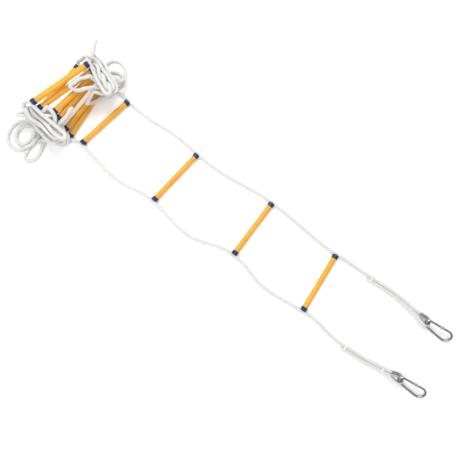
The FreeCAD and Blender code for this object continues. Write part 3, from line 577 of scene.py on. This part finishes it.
def bay_places(side, upper):
    """Where the slack passes between a bundled rung and the next rung down, in mm."""
    if upper == BUNDLED[-1]:
        return APPROACHES[side]
    if (side, upper) in SPECIAL_BAYS:
        return SPECIAL_BAYS[side, upper]
    return track_bay(side, upper)


def coil_waypoints(side):
    """Points along one rope from its free end through the bundle to the first laid-out rung."""
    points = list(above_floor(FREE_ENDS[side]))
    for upper in BUNDLED:
        hold, grip = saddle(upper, side), forward(upper) * CORD_GRIP
        points += [hold - grip, hold, hold + grip, *above_floor(bay_places(side, upper))]
    end, ahead = saddle(LAID_OUT[0], side), forward(LAID_OUT[0])
    points += [end - ahead * LAP_REACH, end - ahead * CORD_GRIP, end]
    return np.array(points)


def close_pairs(line):
    """Pairs of points that are near each other but not along the same short stretch."""
    gaps = np.linalg.norm(line[:, None] - line[None], axis=2)
    first, second = np.nonzero(gaps < NEAR)
    apart = (second - first) * SETTLE_STEP > SHORT_STRETCH
    return first[apart], second[apart]


def push_apart(line, pairs):
    """Move touching strands of rope apart until they only rest on each other."""
    first, second = pairs
    gap = line[first] - line[second]
    distance = np.maximum(np.linalg.norm(gap, axis=1), TINY)
    overlap = np.maximum(2 * SLACK_RADIUS - distance, 0)
    push = gap / distance[:, None] * (overlap * PUSH_SHARE)[:, None]
    np.add.at(line, first, push)
    np.add.at(line, second, -push)


def push_off_rungs(line):
    """Move rope out of the bundled rungs, round them or past their ends, whichever is shorter."""
    for number in HOLDING:
        middle, direction = RUNGS[number]
        along = (line - middle) @ direction
        across = line - middle - along[:, None] * direction
        distance = np.maximum(np.linalg.norm(across, axis=1), TINY)
        round_it = CAP_RADIUS + SLACK_RADIUS - distance
        past_it = HALF_GAUGE - RUNG_SETBACK - np.abs(along)
        inside = (round_it > 0) & (past_it > 0)
        go_round = inside & (round_it <= past_it)
        go_past = inside & ~go_round
        line[go_round] += (across / distance[:, None] * round_it[:, None])[go_round]
        line[go_past] += (direction * (np.sign(along) * past_it)[:, None])[go_past]


def keep_lengths(line, lengths):
    """Stretch or shorten each step of the line back to its own length."""
    for start in (0, 1):
        a, b = np.arange(start, len(line) - 1, 2), np.arange(start + 1, len(line), 2)
        gap = line[b] - line[a]
        distance = np.linalg.norm(gap, axis=1)
        change = gap * ((distance - lengths[a]) / distance / 2)[:, None]
        line[a] += change
        line[b] -= change


def settled_coil(side):
    """The rope in the bundle, let down on the floor, the rungs and itself."""
    line = through(coil_waypoints(side), SETTLE_STEP)
    lengths = np.linalg.norm(np.diff(line, axis=0), axis=1)
    held = [nearest(line, place) for place in above_floor(HELD_PLACES[side])]
    for number in HOLDING:
        index = nearest(line, saddle(number, side))
        line[index] = saddle(number, side)
        held += [i for i in (index - 1, index, index + 1) if i < len(line)]
    kept = line[held].copy()
    for turn in range(SETTLE_ROUNDS):
        if turn % PAIR_REFRESH == 0:
            pairs = close_pairs(line)
        line[:, 2] -= SINK
        line[1:-1] += SMOOTHING * ((line[:-2] + line[2:]) / 2 - line[1:-1])
        keep_lengths(line, lengths)
        push_apart(line, pairs)
        push_off_rungs(line)
        line[:, 2] = np.maximum(line[:, 2], FLOOR + SLACK_RADIUS)
        line[held] = kept
    return line


# ---- side ropes ----

# How far in from the tip the first ring of a rounded rope end stands, as a share of a step
TIP_SHARE = 0.35


def rope_line(side):
    """One side rope's centre line, from its free end in the bundle to its end beyond the eye."""
    coil = relaxed(through(settled_coil(side), ROPE_STEP), COIL_ROUNDS)
    laid_out = through(laid_out_line(side), ROPE_STEP)
    held = [nearest(laid_out, saddle(number, side)) for number in LAID_OUT[1:]]
    eased = slice(0, held[-1] + 1)
    laid_out[eased] = relaxed(laid_out[eased], EASING_ROUNDS, held)
    line = evenly(np.concatenate([coil, laid_out[1:]]), ROPE_STEP)
    return relaxed(line, WHOLE_ROUNDS)


def slackness(line, leaves_bundle, side):
    """How slack the rope is at each point of its line, from 0 to 1."""
    before = np.clip((leaves_bundle - np.arange(len(line))) * ROPE_STEP / SWELL_REACH, 0, 1)
    holds = np.array([saddle(number, side) for number in BUNDLED])
    from_hold = np.linalg.norm(line[:, None] - holds[None], axis=2).min(1)
    freedom = np.clip(from_hold / GRIP_REACH, 0, 1)
    return before * (GRIPPED_SLACKNESS + (1 - GRIPPED_SLACKNESS) * freedom)


def rounded_end(rings, line, at_start):
    """Close the last few rings of a rope into a rounded, heat-sealed end."""
    count = round(ROPE_RADIUS / ROPE_STEP) + 1
    order = range(count) if at_start else range(-1, -count - 1, -1)
    for step, index in enumerate(order):
        share = (step + TIP_SHARE) / count
        rings[index] = line[index] + (rings[index] - line[index]) * math.sqrt(1 - (1 - share) ** 2)


def build_rope(side):
    """One side rope as one braid, cut into a piece that stays in the bundle and a piece round
    each laid-out rung. The cuts are halfway between the rungs. Returns the rope's centre line."""
    line = rope_line(side)
    at_rungs = [nearest(line, saddle(number, side)) for number in LAID_OUT]
    leaves_bundle = at_rungs[0] - round(BUNDLE_EDGE / ROPE_STEP)
    slack = slackness(line, leaves_bundle, side)[:, None]
    rings, along = rings_round(line, lambda angle, s: braid_radius(angle, s, slack), ROPE_AROUND)
    rounded_end(rings, line, at_start=True)
    rounded_end(rings, line, at_start=False)

    def piece_between(label, start, end, node):
        piece = swept_piece(f"rope_{side}_{label}", rings[start : end + 1], along[start : end + 1])
        put_in_place(piece, "rope", node)
        return piece

    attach(piece_between("coil", 0, leaves_bundle, f"rope_coil_{side}"), "bundle")
    halfway = [(before + after) // 2 for before, after in zip(at_rungs, at_rungs[1:])]
    cuts = [leaves_bundle, *halfway, len(line) - 1]
    bodies = ["bundle", "bay_3", "bay_2", "bay_1", f"eye_{side}"]
    nodes = [f"rope_{bay}_{side}" for bay in bodies[1:-1]] + [f"eye_rope_{side}"]
    for place, number in enumerate(LAID_OUT):
        piece = piece_between(f"at_rung_{number}", cuts[place], cuts[place + 1], nodes[place])
        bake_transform(piece)
    return line


# ---- rungs ----


def groove_depth(along):
    """How deep in the groove between two ribs a place along a tube is, from 0 to 1."""
    return (0.5 - 0.5 * np.cos(2 * math.pi * along / RIB_PITCH)) ** 3


def rib_radius(_, along):
    """The radius of a rung's tube: shallow grooves between its ribs."""
    return TUBE_RADIUS - RIB_DEPTH * groove_depth(along)


def build_tube(number):
    """A rung's ribbed tube, with its bore. It carries the depth of its grooves for its material."""
    node = f"rung_{number:02d}_tube"
    middle, direction = RUNGS[number]
    half = float(np.abs((vertices_of(NODES[node]) - middle) @ direction).max())
    count = round(2 * half / (RIB_PITCH / RINGS_PER_RIB)) + 1
    line = middle + np.linspace(-half, half, count)[:, None] * direction
    outside, along = rings_round(line, rib_radius, TUBE_AROUND)
    inside = plain_rings(line[[0, -1]], TUBE_BORE, TUBE_AROUND)
    piece = tube_piece(f"{node}_ribbed", outside, inside)
    depth = np.zeros(len(piece.data.vertices), np.float32)
    depth[: count * TUBE_AROUND] = np.repeat(groove_depth(along), TUBE_AROUND)
    piece.data.attributes.new("groove", "FLOAT", "POINT").data.foreach_set("value", depth)
    put_in_place(piece, "rung_plastic", node)
    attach(piece, NODE_BODY[node])


# ---- metal fittings ----

# Lock sleeve: a fluted grip between two plain collars. The lengths are measured from each end: the
# chamfer, the middle and width of the groove behind the collar, and where the grip begins and fades in.
SLEEVE_AROUND = 72
SLEEVE_RINGS = 36
SLEEVE_FLUTES = 24
SLEEVE_RELIEF = 0.35 * MM
SLEEVE_CHAMFER = 1.2 * MM
COLLAR_GROOVE = 2.6 * MM
COLLAR_GROOVE_WIDTH = 0.5 * MM
GRIP_START = 3.0 * MM
GRIP_FADE = 0.6 * MM


def axis_middle(places, direction):
    """The middle of a turned part whose axis has a known direction."""
    along = places @ direction
    flat = places - along[:, None] * direction
    return (flat.max(0) + flat.min(0)) / 2 + direction * (along.max() + along.min()) / 2


def build_sleeve(side):
    """A lock sleeve with a fluted grip between two plain collars."""
    node = f"lock_sleeve_{side}"
    places = vertices_of(NODES[node])
    direction = np.array(JOINTS[f"lock_{side}_slide"]["axis"], float)
    middle = axis_middle(places, direction)
    along = (places - middle) @ direction
    across = np.linalg.norm(places - middle - along[:, None] * direction, axis=1)
    half, outer, bore = float(np.abs(along).max()), float(across.max()), float(across.min())
    line = middle + np.linspace(-half, half, SLEEVE_RINGS)[:, None] * direction

    def radius_at(angle, distance):
        from_end = np.minimum(distance, 2 * half - distance)
        chamfer = np.clip(SLEEVE_CHAMFER - from_end, 0, None)
        groove = np.exp(-(((from_end - COLLAR_GROOVE) / COLLAR_GROOVE_WIDTH) ** 2))
        grip = np.clip((from_end - GRIP_START) / GRIP_FADE, 0, 1)
        valley = 1 - np.abs(np.sin(angle * SLEEVE_FLUTES / 2))
        return outer - chamfer - SLEEVE_RELIEF * (groove + grip * valley)

    outside, _ = rings_round(line, radius_at, SLEEVE_AROUND)
    inside = plain_rings(line[[0, -1]], bore, SLEEVE_AROUND)
    piece = tube_piece(f"{node}_fluted", outside, inside)
    put_in_place(piece, "sleeve_steel", node)
    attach(piece, NODE_BODY[node])


# Whipping twine: its size, the pitch of its turns, how deep it presses into the rope under it, and the
# number of points in each of its turns
TWINE_RADIUS = 0.62 * MM
TWINE_AROUND = 8
TWINE_PITCH = 1.22 * MM
TWINE_TUCK = 0.25 * MM
TURN_POINTS = 48


def wound_band(band, rope):
    """The line of the twine that replaces one plain band, from the band's vertices and the centre line
    of the rope that it holds."""
    middle = (band.max(0) + band.min(0)) / 2
    index = nearest(rope, middle)
    forwards = unit(rope[index + 2] - rope[index - 2])
    lateral = np.linalg.svd(band - middle, full_matrices=False)[2][0]
    lateral = unit(lateral - forwards * (lateral @ forwards))
    up = np.cross(forwards, lateral)
    length, width, height = (float(np.ptp((band - middle) @ way)) for way in (forwards, lateral, up))
    inset = TWINE_RADIUS + TWINE_TUCK
    radius = height / 2 - inset
    spread = width / 2 - inset - radius
    ahead, across, above = winding(length - 2 * TWINE_RADIUS, radius, spread)
    return middle + ahead * forwards + across * lateral + above * up


def winding(length, radius, spread):
    """Twine wound round two ropes side by side: how far along, across and above each point is. Each
    turn is a half circle, a straight, another half circle and another straight."""
    turns = length / TWINE_PITCH
    travelled = np.linspace(0, turns, int(turns * TURN_POINTS) + 1)[:, None]
    arc, straight = math.pi * radius, 2 * spread
    place = (travelled % 1.0) * 2 * (arc + straight)
    first_arc = np.clip(place / radius, 0, math.pi) - math.pi / 2
    over = np.clip(place - arc, 0, straight)
    second_arc = np.clip((place - arc - straight) / radius, 0, math.pi) + math.pi / 2
    back = np.clip(place - 2 * arc - straight, 0, straight)
    stretches = [place < arc, place < arc + straight, place < 2 * arc + straight]
    across = np.select(
        stretches,
        [spread + radius * np.cos(first_arc), spread - over, radius * np.cos(second_arc) - spread],
        back - spread,
    )
    above = np.select(
        stretches, [radius * np.sin(first_arc), radius, radius * np.sin(second_arc)], -radius
    )
    return (travelled / turns - 0.5) * length, across, above


def build_seizings(side, rope):
    """Turns of twine wound tightly round the doubled rope, in place of each plain band."""
    node = f"eye_seizings_{side}"
    places = vertices_of(NODES[node])
    split = (places[:, 0].min() + places[:, 0].max()) / 2
    points, faces = [], []
    for band in (places[places[:, 0] < split], places[places[:, 0] >= split]):
        rings = plain_rings(wound_band(band, rope), TWINE_RADIUS, TWINE_AROUND)
        for face in capped_faces(len(rings), TWINE_AROUND):
            faces.append([len(points) + corner for corner in face])
        points.extend(rings.reshape(-1, 3))
    piece = mesh_object(f"{node}_twine", np.array(points), faces)
    put_in_place(piece, "whipping_twine", node)
    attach(piece, NODE_BODY[node])


# ---- materials ----


# A colour mix node's inputs, for the share and the two colours, and its output
MIX_INPUTS, MIX_OUTPUT = (0, 6, 7), 2


class Look:
    """A node material or world, with short names for the nodes that this scene uses."""

    def __init__(self, name, owners="materials", surface="BSDF_PRINCIPLED"):
        self.owner = getattr(bpy.data, owners).new(name)
        self.owner.use_nodes = True
        self.tree = self.owner.node_tree
        self.surface = next(node for node in self.tree.nodes if node.type == surface)
        self.places = self.add("ShaderNodeTexCoord")

    def add(self, kind, settings=None, **inputs):
        """A new node with its settings, and its inputs set or linked."""
        node = self.tree.nodes.new(kind)
        for key, value in (settings or {}).items():
            setattr(node, key, value)
        for key, value in inputs.items():
            self.feed(node.inputs[key.replace("_", " ")], value)
        return node

    def feed(self, socket, value):
        """Link an output to an input, or set the input to a plain value."""
        if isinstance(value, bpy.types.NodeSocket):
            self.tree.links.new(value, socket)
        else:
            socket.default_value = value

    def math(self, operation, first, second=0.0, third=0.0):
        """Arithmetic on one to three values."""
        node = self.add("ShaderNodeMath", {"operation": operation})
        for socket, value in zip(node.inputs, (first, second, third)):
            self.feed(socket, value)
        return node.outputs[0]

    def noise(self, scale, detail=3.0, stretch=None, where=None):
        """A noise value in the object's own space. Scale is in cells per metre."""
        where = where or self.places.outputs["Object"]
        if stretch:
            mapping = self.add("ShaderNodeMapping")
            self.feed(mapping.inputs["Vector"], where)
            mapping.inputs["Scale"].default_value = stretch
            where = mapping.outputs[0]
        return self.add("ShaderNodeTexNoise", Vector=where, Scale=scale, Detail=detail).outputs[0]

    def ramp(self, value, stops):
        """A colour ramp through (place, colour) stops. A plain number is a grey."""
        node = self.add("ShaderNodeValToRGB", Fac=value)
        ramp = node.color_ramp
        while len(ramp.elements) < len(stops):
            ramp.elements.new(0.5)
        for element, (place, colour) in zip(ramp.elements, stops):
            if isinstance(colour, (int, float)):
                colour = (colour,) * 3
            element.position = place
            element.color = (*colour, 1.0)
        return node.outputs[0]

    def mix(self, share, first, second):
        """A mix of two colours."""
        node = self.add("ShaderNodeMix", {"data_type": "RGBA"})
        for index, value in zip(MIX_INPUTS, (share, first, second)):
            if isinstance(value, tuple) and len(value) == 3:
                value = (*value, 1.0)
            self.feed(node.inputs[index], value)
        return node.outputs[MIX_OUTPUT]

    def bump(self, height, distance, strength=1.0, under=None):
        """A bump from a height between 0 and 1, distance metres high."""
        node = self.add("ShaderNodeBump", Height=height, Distance=distance, Strength=strength)
        if under is not None:
            self.feed(node.inputs["Normal"], under)
        return node.outputs[0]

    def finish(self, **inputs):
        """Set the surface's inputs and return the material or world."""
        for key, value in inputs.items():
            self.feed(self.surface.inputs[key.replace("_", " ")], value)
        return self.owner


# One turn round the rope counts as this many metres in the noise of its look
ROPE_GIRTH = 0.04


def rope_look():
    """Off-white braided rope: yarns that cross, with soft shade between them and a little grime."""
    look = Look("rope")
    split = look.add("ShaderNodeSeparateXYZ", Vector=look.places.outputs["UV"])
    turns = look.math("MULTIPLY", split.outputs[0], float(BRAID_YARNS))
    steps = look.math("MULTIPLY", split.outputs[1], BRAID_YARNS / 2 / BRAID_PITCH)
    waves = []
    for sign in ("ADD", "SUBTRACT"):
        phase = look.math("FRACT", look.math(sign, turns, steps))
        waves.append(look.math("SINE", look.math("MULTIPLY", phase, math.pi)))
    crown = look.math("MULTIPLY", waves[0], waves[1])
    girth = look.math("MULTIPLY", split.outputs[0], ROPE_GIRTH)
    place = look.add("ShaderNodeCombineXYZ", X=girth, Y=split.outputs[1])
    fibre = look.noise(2600.0, 2.0, stretch=(1.0, 0.25, 1.0), where=place.outputs[0])
    patches = look.noise(28.0, 3.0, where=place.outputs[0])
    shade = look.math("ADD", look.math("MULTIPLY", crown, 0.72), look.math("MULTIPLY", fibre, 0.28))
    greys = [(0.02, (0.43, 0.427, 0.415)), (0.28, (0.63, 0.627, 0.612)), (0.75, (0.75, 0.747, 0.732))]
    colour = look.ramp(shade, greys)
    grime = look.ramp(patches, [(0.42, 0.0), (0.78, 0.35)])
    colour = look.mix(grime, colour, (0.66, 0.645, 0.61))
    weave = look.bump(crown, 0.35 * MM, 0.8)
    normal = look.bump(fibre, 0.10 * MM, 0.6, under=weave)
    return look.finish(
        Base_Color=colour, Roughness=0.82, Normal=normal, Sheen_Weight=0.25, Sheen_Roughness=0.5,
    )


def cord_look(name, colour, scale):
    """Fine twisted cord or twine, with painted shade in the low parts of its twist."""
    look = Look(name)
    fibre = look.noise(scale, 4.0)
    diagonal = {"bands_direction": "DIAGONAL"}
    twist = look.add("ShaderNodeTexWave", diagonal, Scale=scale * 0.22, Distortion=1.5)
    look.feed(twist.inputs["Vector"], look.places.outputs["Object"])
    height = look.math("MULTIPLY", fibre, 0.4)
    height = look.math("MULTIPLY_ADD", twist.outputs[1], 0.6, height)
    # Painted shade: the colour darkens where the twist's height is low; the fibre noise in that height also varies
    # the tone at random.
    dark = tuple(0.68 * part for part in colour)
    return look.finish(
        Base_Color=look.ramp(height, [(0.2, dark), (0.65, colour)]),
        Roughness=0.8,
        Normal=look.bump(height, 0.25 * MM, 0.8),
        Sheen_Weight=0.2,
    )


def rung_look():
    """Yellow-orange moulded plastic: satin, a little translucent, with painted shade in the grooves, and scuffed.
    """
    look = Look("rung_plastic")
    groove = look.add("ShaderNodeAttribute", {"attribute_name": "groove"}).outputs["Fac"]
    clouds = look.noise(22.0, 4.0)
    specks = look.noise(900.0, 3.0)
    scuffs = look.noise(160.0, 5.0, stretch=(1.0, 0.12, 1.0))
    colour = look.ramp(clouds, [(0.3, (0.78, 0.368, 0.012)), (0.7, (0.85, 0.430, 0.022))])
    # Painted shade: the colour darkens towards the bottom of each groove between the ribs, by its depth.
    colour = look.mix(look.math("MULTIPLY", groove, 0.55), colour, (0.50, 0.20, 0.008))
    wear = look.ramp(scuffs, [(0.62, 0.0), (0.74, 0.30)])
    colour = look.mix(wear, colour, (0.88, 0.56, 0.12))
    roughness = look.math("MULTIPLY_ADD", scuffs, 0.2, 0.20)
    roughness = look.math("MULTIPLY_ADD", specks, 0.16, roughness)
    return look.finish(
        Base_Color=colour,
        Roughness=roughness,
        Normal=look.bump(specks, 0.06 * MM, 0.35),
        Subsurface_Weight=0.08,
        Subsurface_Radius=(0.004, 0.0015, 0.0005),
        Coat_Weight=0.15,
        Coat_Roughness=0.3,
    )


def cap_look():
    """Blue moulded plastic with a fine texture and paler rubbed spots."""
    look = Look("cap_plastic")
    grain = look.noise(1500.0, 3.0)
    rubs = look.noise(110.0, 5.0)
    clouds = look.noise(30.0, 2.0)
    colour = look.ramp(clouds, [(0.3, (0.0045, 0.016, 0.075)), (0.7, (0.008, 0.027, 0.115))])
    colour = look.mix(look.ramp(rubs, [(0.6, 0.0), (0.75, 0.4)]), colour, (0.03, 0.065, 0.19))
    roughness = look.math("MULTIPLY_ADD", grain, 0.2, 0.26)
    return look.finish(Base_Color=colour, Roughness=roughness, Normal=look.bump(grain, 0.05 * MM, 0.5))


def steel_look(name, colour, roughness, grain_scale, scratch=0.35):
    """Plated steel: fine scratches, a cloudy sheen and small dull spots."""
    look = Look(name)
    clouds = look.noise(90.0, 4.0)
    fine = look.noise(grain_scale, 4.0, stretch=(0.06, 1.0, 1.0))
    spots = look.noise(420.0, 5.0)
    tone = look.ramp(clouds, [(0.3, tuple(0.82 * part for part in colour)), (0.7, colour)])
    dull = look.ramp(spots, [(0.62, 0.0), (0.8, 0.5)])
    tone = look.mix(dull, tone, tuple(0.55 * part for part in colour))
    rough = look.math("MULTIPLY_ADD", fine, 0.16, roughness - 0.08)
    rough = look.math("MULTIPLY_ADD", dull, 0.2, rough)
    return look.finish(
        Base_Color=tone, Metallic=1.0, Roughness=rough, Normal=look.bump(fine, 0.02 * MM, scratch)
    )


MATERIALS = {
    "rope": rope_look(),
    "tie_cord": cord_look("tie_cord", (0.70, 0.69, 0.65), 1400.0),
    "whipping_twine": cord_look("whipping_twine", (0.88, 0.875, 0.85), 2200.0),
    "rung_plastic": rung_look(),
    "cap_plastic": cap_look(),
    "thimble_steel": steel_look("thimble_steel", (0.52, 0.53, 0.54), 0.34, 900.0),
    "hook_steel": steel_look("hook_steel", (0.42, 0.43, 0.44), 0.18, 700.0, 0.2),
    "gate_steel": steel_look("gate_steel", (0.40, 0.41, 0.43), 0.22, 700.0, 0.2),
    "sleeve_steel": steel_look("sleeve_steel", (0.72, 0.73, 0.74), 0.24, 1100.0),
    "pin_steel": steel_look("pin_steel", (0.50, 0.51, 0.53), 0.30, 1300.0),
}


def dress_cad_nodes():
    """Give each CAD node that stays the material of its own slot."""
    slots = {part["node"]: part["material_slot"] for part in frame["record"]["subparts"]}
    for name, node in NODES.items():
        look = MATERIALS[slots[name]]
        if not node.material_slots:
            node.data.materials.append(look)
        for slot in node.material_slots:
            slot.material = look
        node.data.polygons.foreach_set("use_smooth", [True] * len(node.data.polygons))
        sharpen(node, CAD_CREASE)


# ---- studio ----

# Camera: the point it looks at, its direction round and above that point, its distance from it in
# metres, and its lens and sensor in mm
TARGET = Vector((-0.370, -0.050, FLOOR))
AZIMUTH, ELEVATION = math.radians(37.0), math.radians(84.0)
DISTANCE = 1.700
LENS, SENSOR = 32.12, 36.0

# Floor: how far it reaches, its gap under the ladder, and the glow that keeps it white. The glow grows
# with the distance from the frame's origin.
FLOOR_REACH = 30.0
FLOOR_GAP = 0.4 * MM
NEAR_GLOW, FAR_GLOW = 0.10, 0.42
GLOW_GROWS_FROM, GLOW_GROWS_TO = 1.2, 5.0

# World: its strength, and how bright it is straight ahead of the camera
WORLD_STRENGTH = 0.62
SEEN_WHITE = 1.56


def place_camera():
    """The camera, nearly overhead, with the hooks at the lower right of the picture."""
    right = Vector((math.cos(AZIMUTH), math.sin(AZIMUTH), 0))
    level = Vector((math.sin(AZIMUTH), -math.cos(AZIMUTH), 0))
    back = level * math.cos(ELEVATION) + Vector((0, 0, math.sin(ELEVATION)))
    up = back.cross(right)
    data = bpy.data.cameras.new("camera")
    data.lens, data.sensor_width = LENS, SENSOR
    camera = bpy.data.objects.new("camera", data)
    bpy.context.scene.collection.objects.link(camera)
    rows = [(right[i], up[i], back[i], (TARGET + back * DISTANCE)[i]) for i in range(3)]
    camera.matrix_world = Matrix([*rows, (0, 0, 0, 1)])
    bpy.context.scene.camera = camera


def add_lamp(name, place, size, power):
    """A soft square lamp that looks at the camera's target."""
    data = bpy.data.lights.new(name, "AREA")
    data.size, data.energy = size, power
    lamp = bpy.data.objects.new(name, data)
    lamp.location = place
    lamp.rotation_euler = (TARGET - Vector(place)).to_track_quat("-Z", "Y").to_euler()
    bpy.context.scene.collection.objects.link(lamp)


def floor_look():
    """A white sheet, faintly mottled."""
    look = Look("floor")
    away = look.add("ShaderNodeVectorMath", {"operation": "LENGTH"})
    look.feed(away.inputs[0], look.places.outputs["Object"])
    glow = look.add(
        "ShaderNodeMapRange",
        Value=away.outputs["Value"],
        From_Min=GLOW_GROWS_FROM,
        From_Max=GLOW_GROWS_TO,
        To_Min=NEAR_GLOW,
        To_Max=FAR_GLOW,
    )
    return look.finish(
        Base_Color=look.ramp(look.noise(3.0, 3.0), [(0.3, 0.88), (0.7, 0.90)]),
        Roughness=0.9,
        Emission_Color=(1.0, 1.0, 1.0, 1.0),
        Emission_Strength=glow.outputs[0],
    )


def add_floor():
    """A wide white sheet under the ladder."""
    corners = np.array([(-1, -1, 0), (1, -1, 0), (1, 1, 0), (-1, 1, 0)]) * FLOOR_REACH
    corners += (TARGET.x, TARGET.y, FLOOR - FLOOR_GAP)
    sheet = mesh_object("floor", corners, [(0, 1, 2, 3)], smooth=False)
    sheet.data.materials.append(floor_look())
    keep_under_ladder(sheet)


def keep_under_ladder(sheet):
    """Lower the floor to the lowest rung or hook when the ladder is folded down, as over a sill."""
    follow = sheet.driver_add("location", 2).driver
    follow.type = "MIN"
    marks = [(f"rung_{number:02d}_tube", RUNGS[number][0]) for number in LAID_OUT]
    for side in SIDES:
        low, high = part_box(f"hook_body_{side}")
        marks.append((f"hook_body_{side}", (high.x, (low.y + high.y) / 2, 0)))
    for node, place in marks:
        mark = bpy.data.objects.new(f"{node}_mark", None)
        bpy.context.scene.collection.objects.link(mark)
        mark.location = place
        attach(mark, NODE_BODY[node])
        height = follow.variables.new()
        height.type = "TRANSFORMS"
        target = height.targets[0]
        target.id = mark
        target.transform_type = "LOC_Z"
        target.transform_space = "WORLD_SPACE"


def light_world():
    """A white surround. Bright metal sees it grow darker towards the horizon, so that its edges show."""
    look = Look("studio", "worlds", "BACKGROUND")
    split = look.add("ShaderNodeSeparateXYZ", Vector=look.places.outputs["Generated"])
    mirrored = look.ramp(split.outputs[2], [(0.05, (0.06, 0.065, 0.075)), (0.75, 1.0)])
    path = look.add("ShaderNodeLightPath")
    colour = look.mix(path.outputs["Is Glossy Ray"], (1.0, 1.0, 1.0), mirrored)
    colour = look.mix(path.outputs["Is Camera Ray"], colour, (SEEN_WHITE,) * 3)
    bpy.context.scene.world = look.finish(Color=colour, Strength=WORLD_STRENGTH)


dress_cad_nodes()
for rope_side in SIDES:
    build_seizings(rope_side, build_rope(rope_side))
    build_sleeve(rope_side)
for rung_number in RUNGS:
    build_tube(rung_number)
add_floor()
light_world()
add_lamp("key", place=(-1.5, 1.3, 2.6), size=1.6, power=58.0)
add_lamp("fill", place=(-0.4, -1.7, 2.2), size=1.8, power=34.0)
place_camera()
bpy.context.scene.view_settings.view_transform = "Standard"
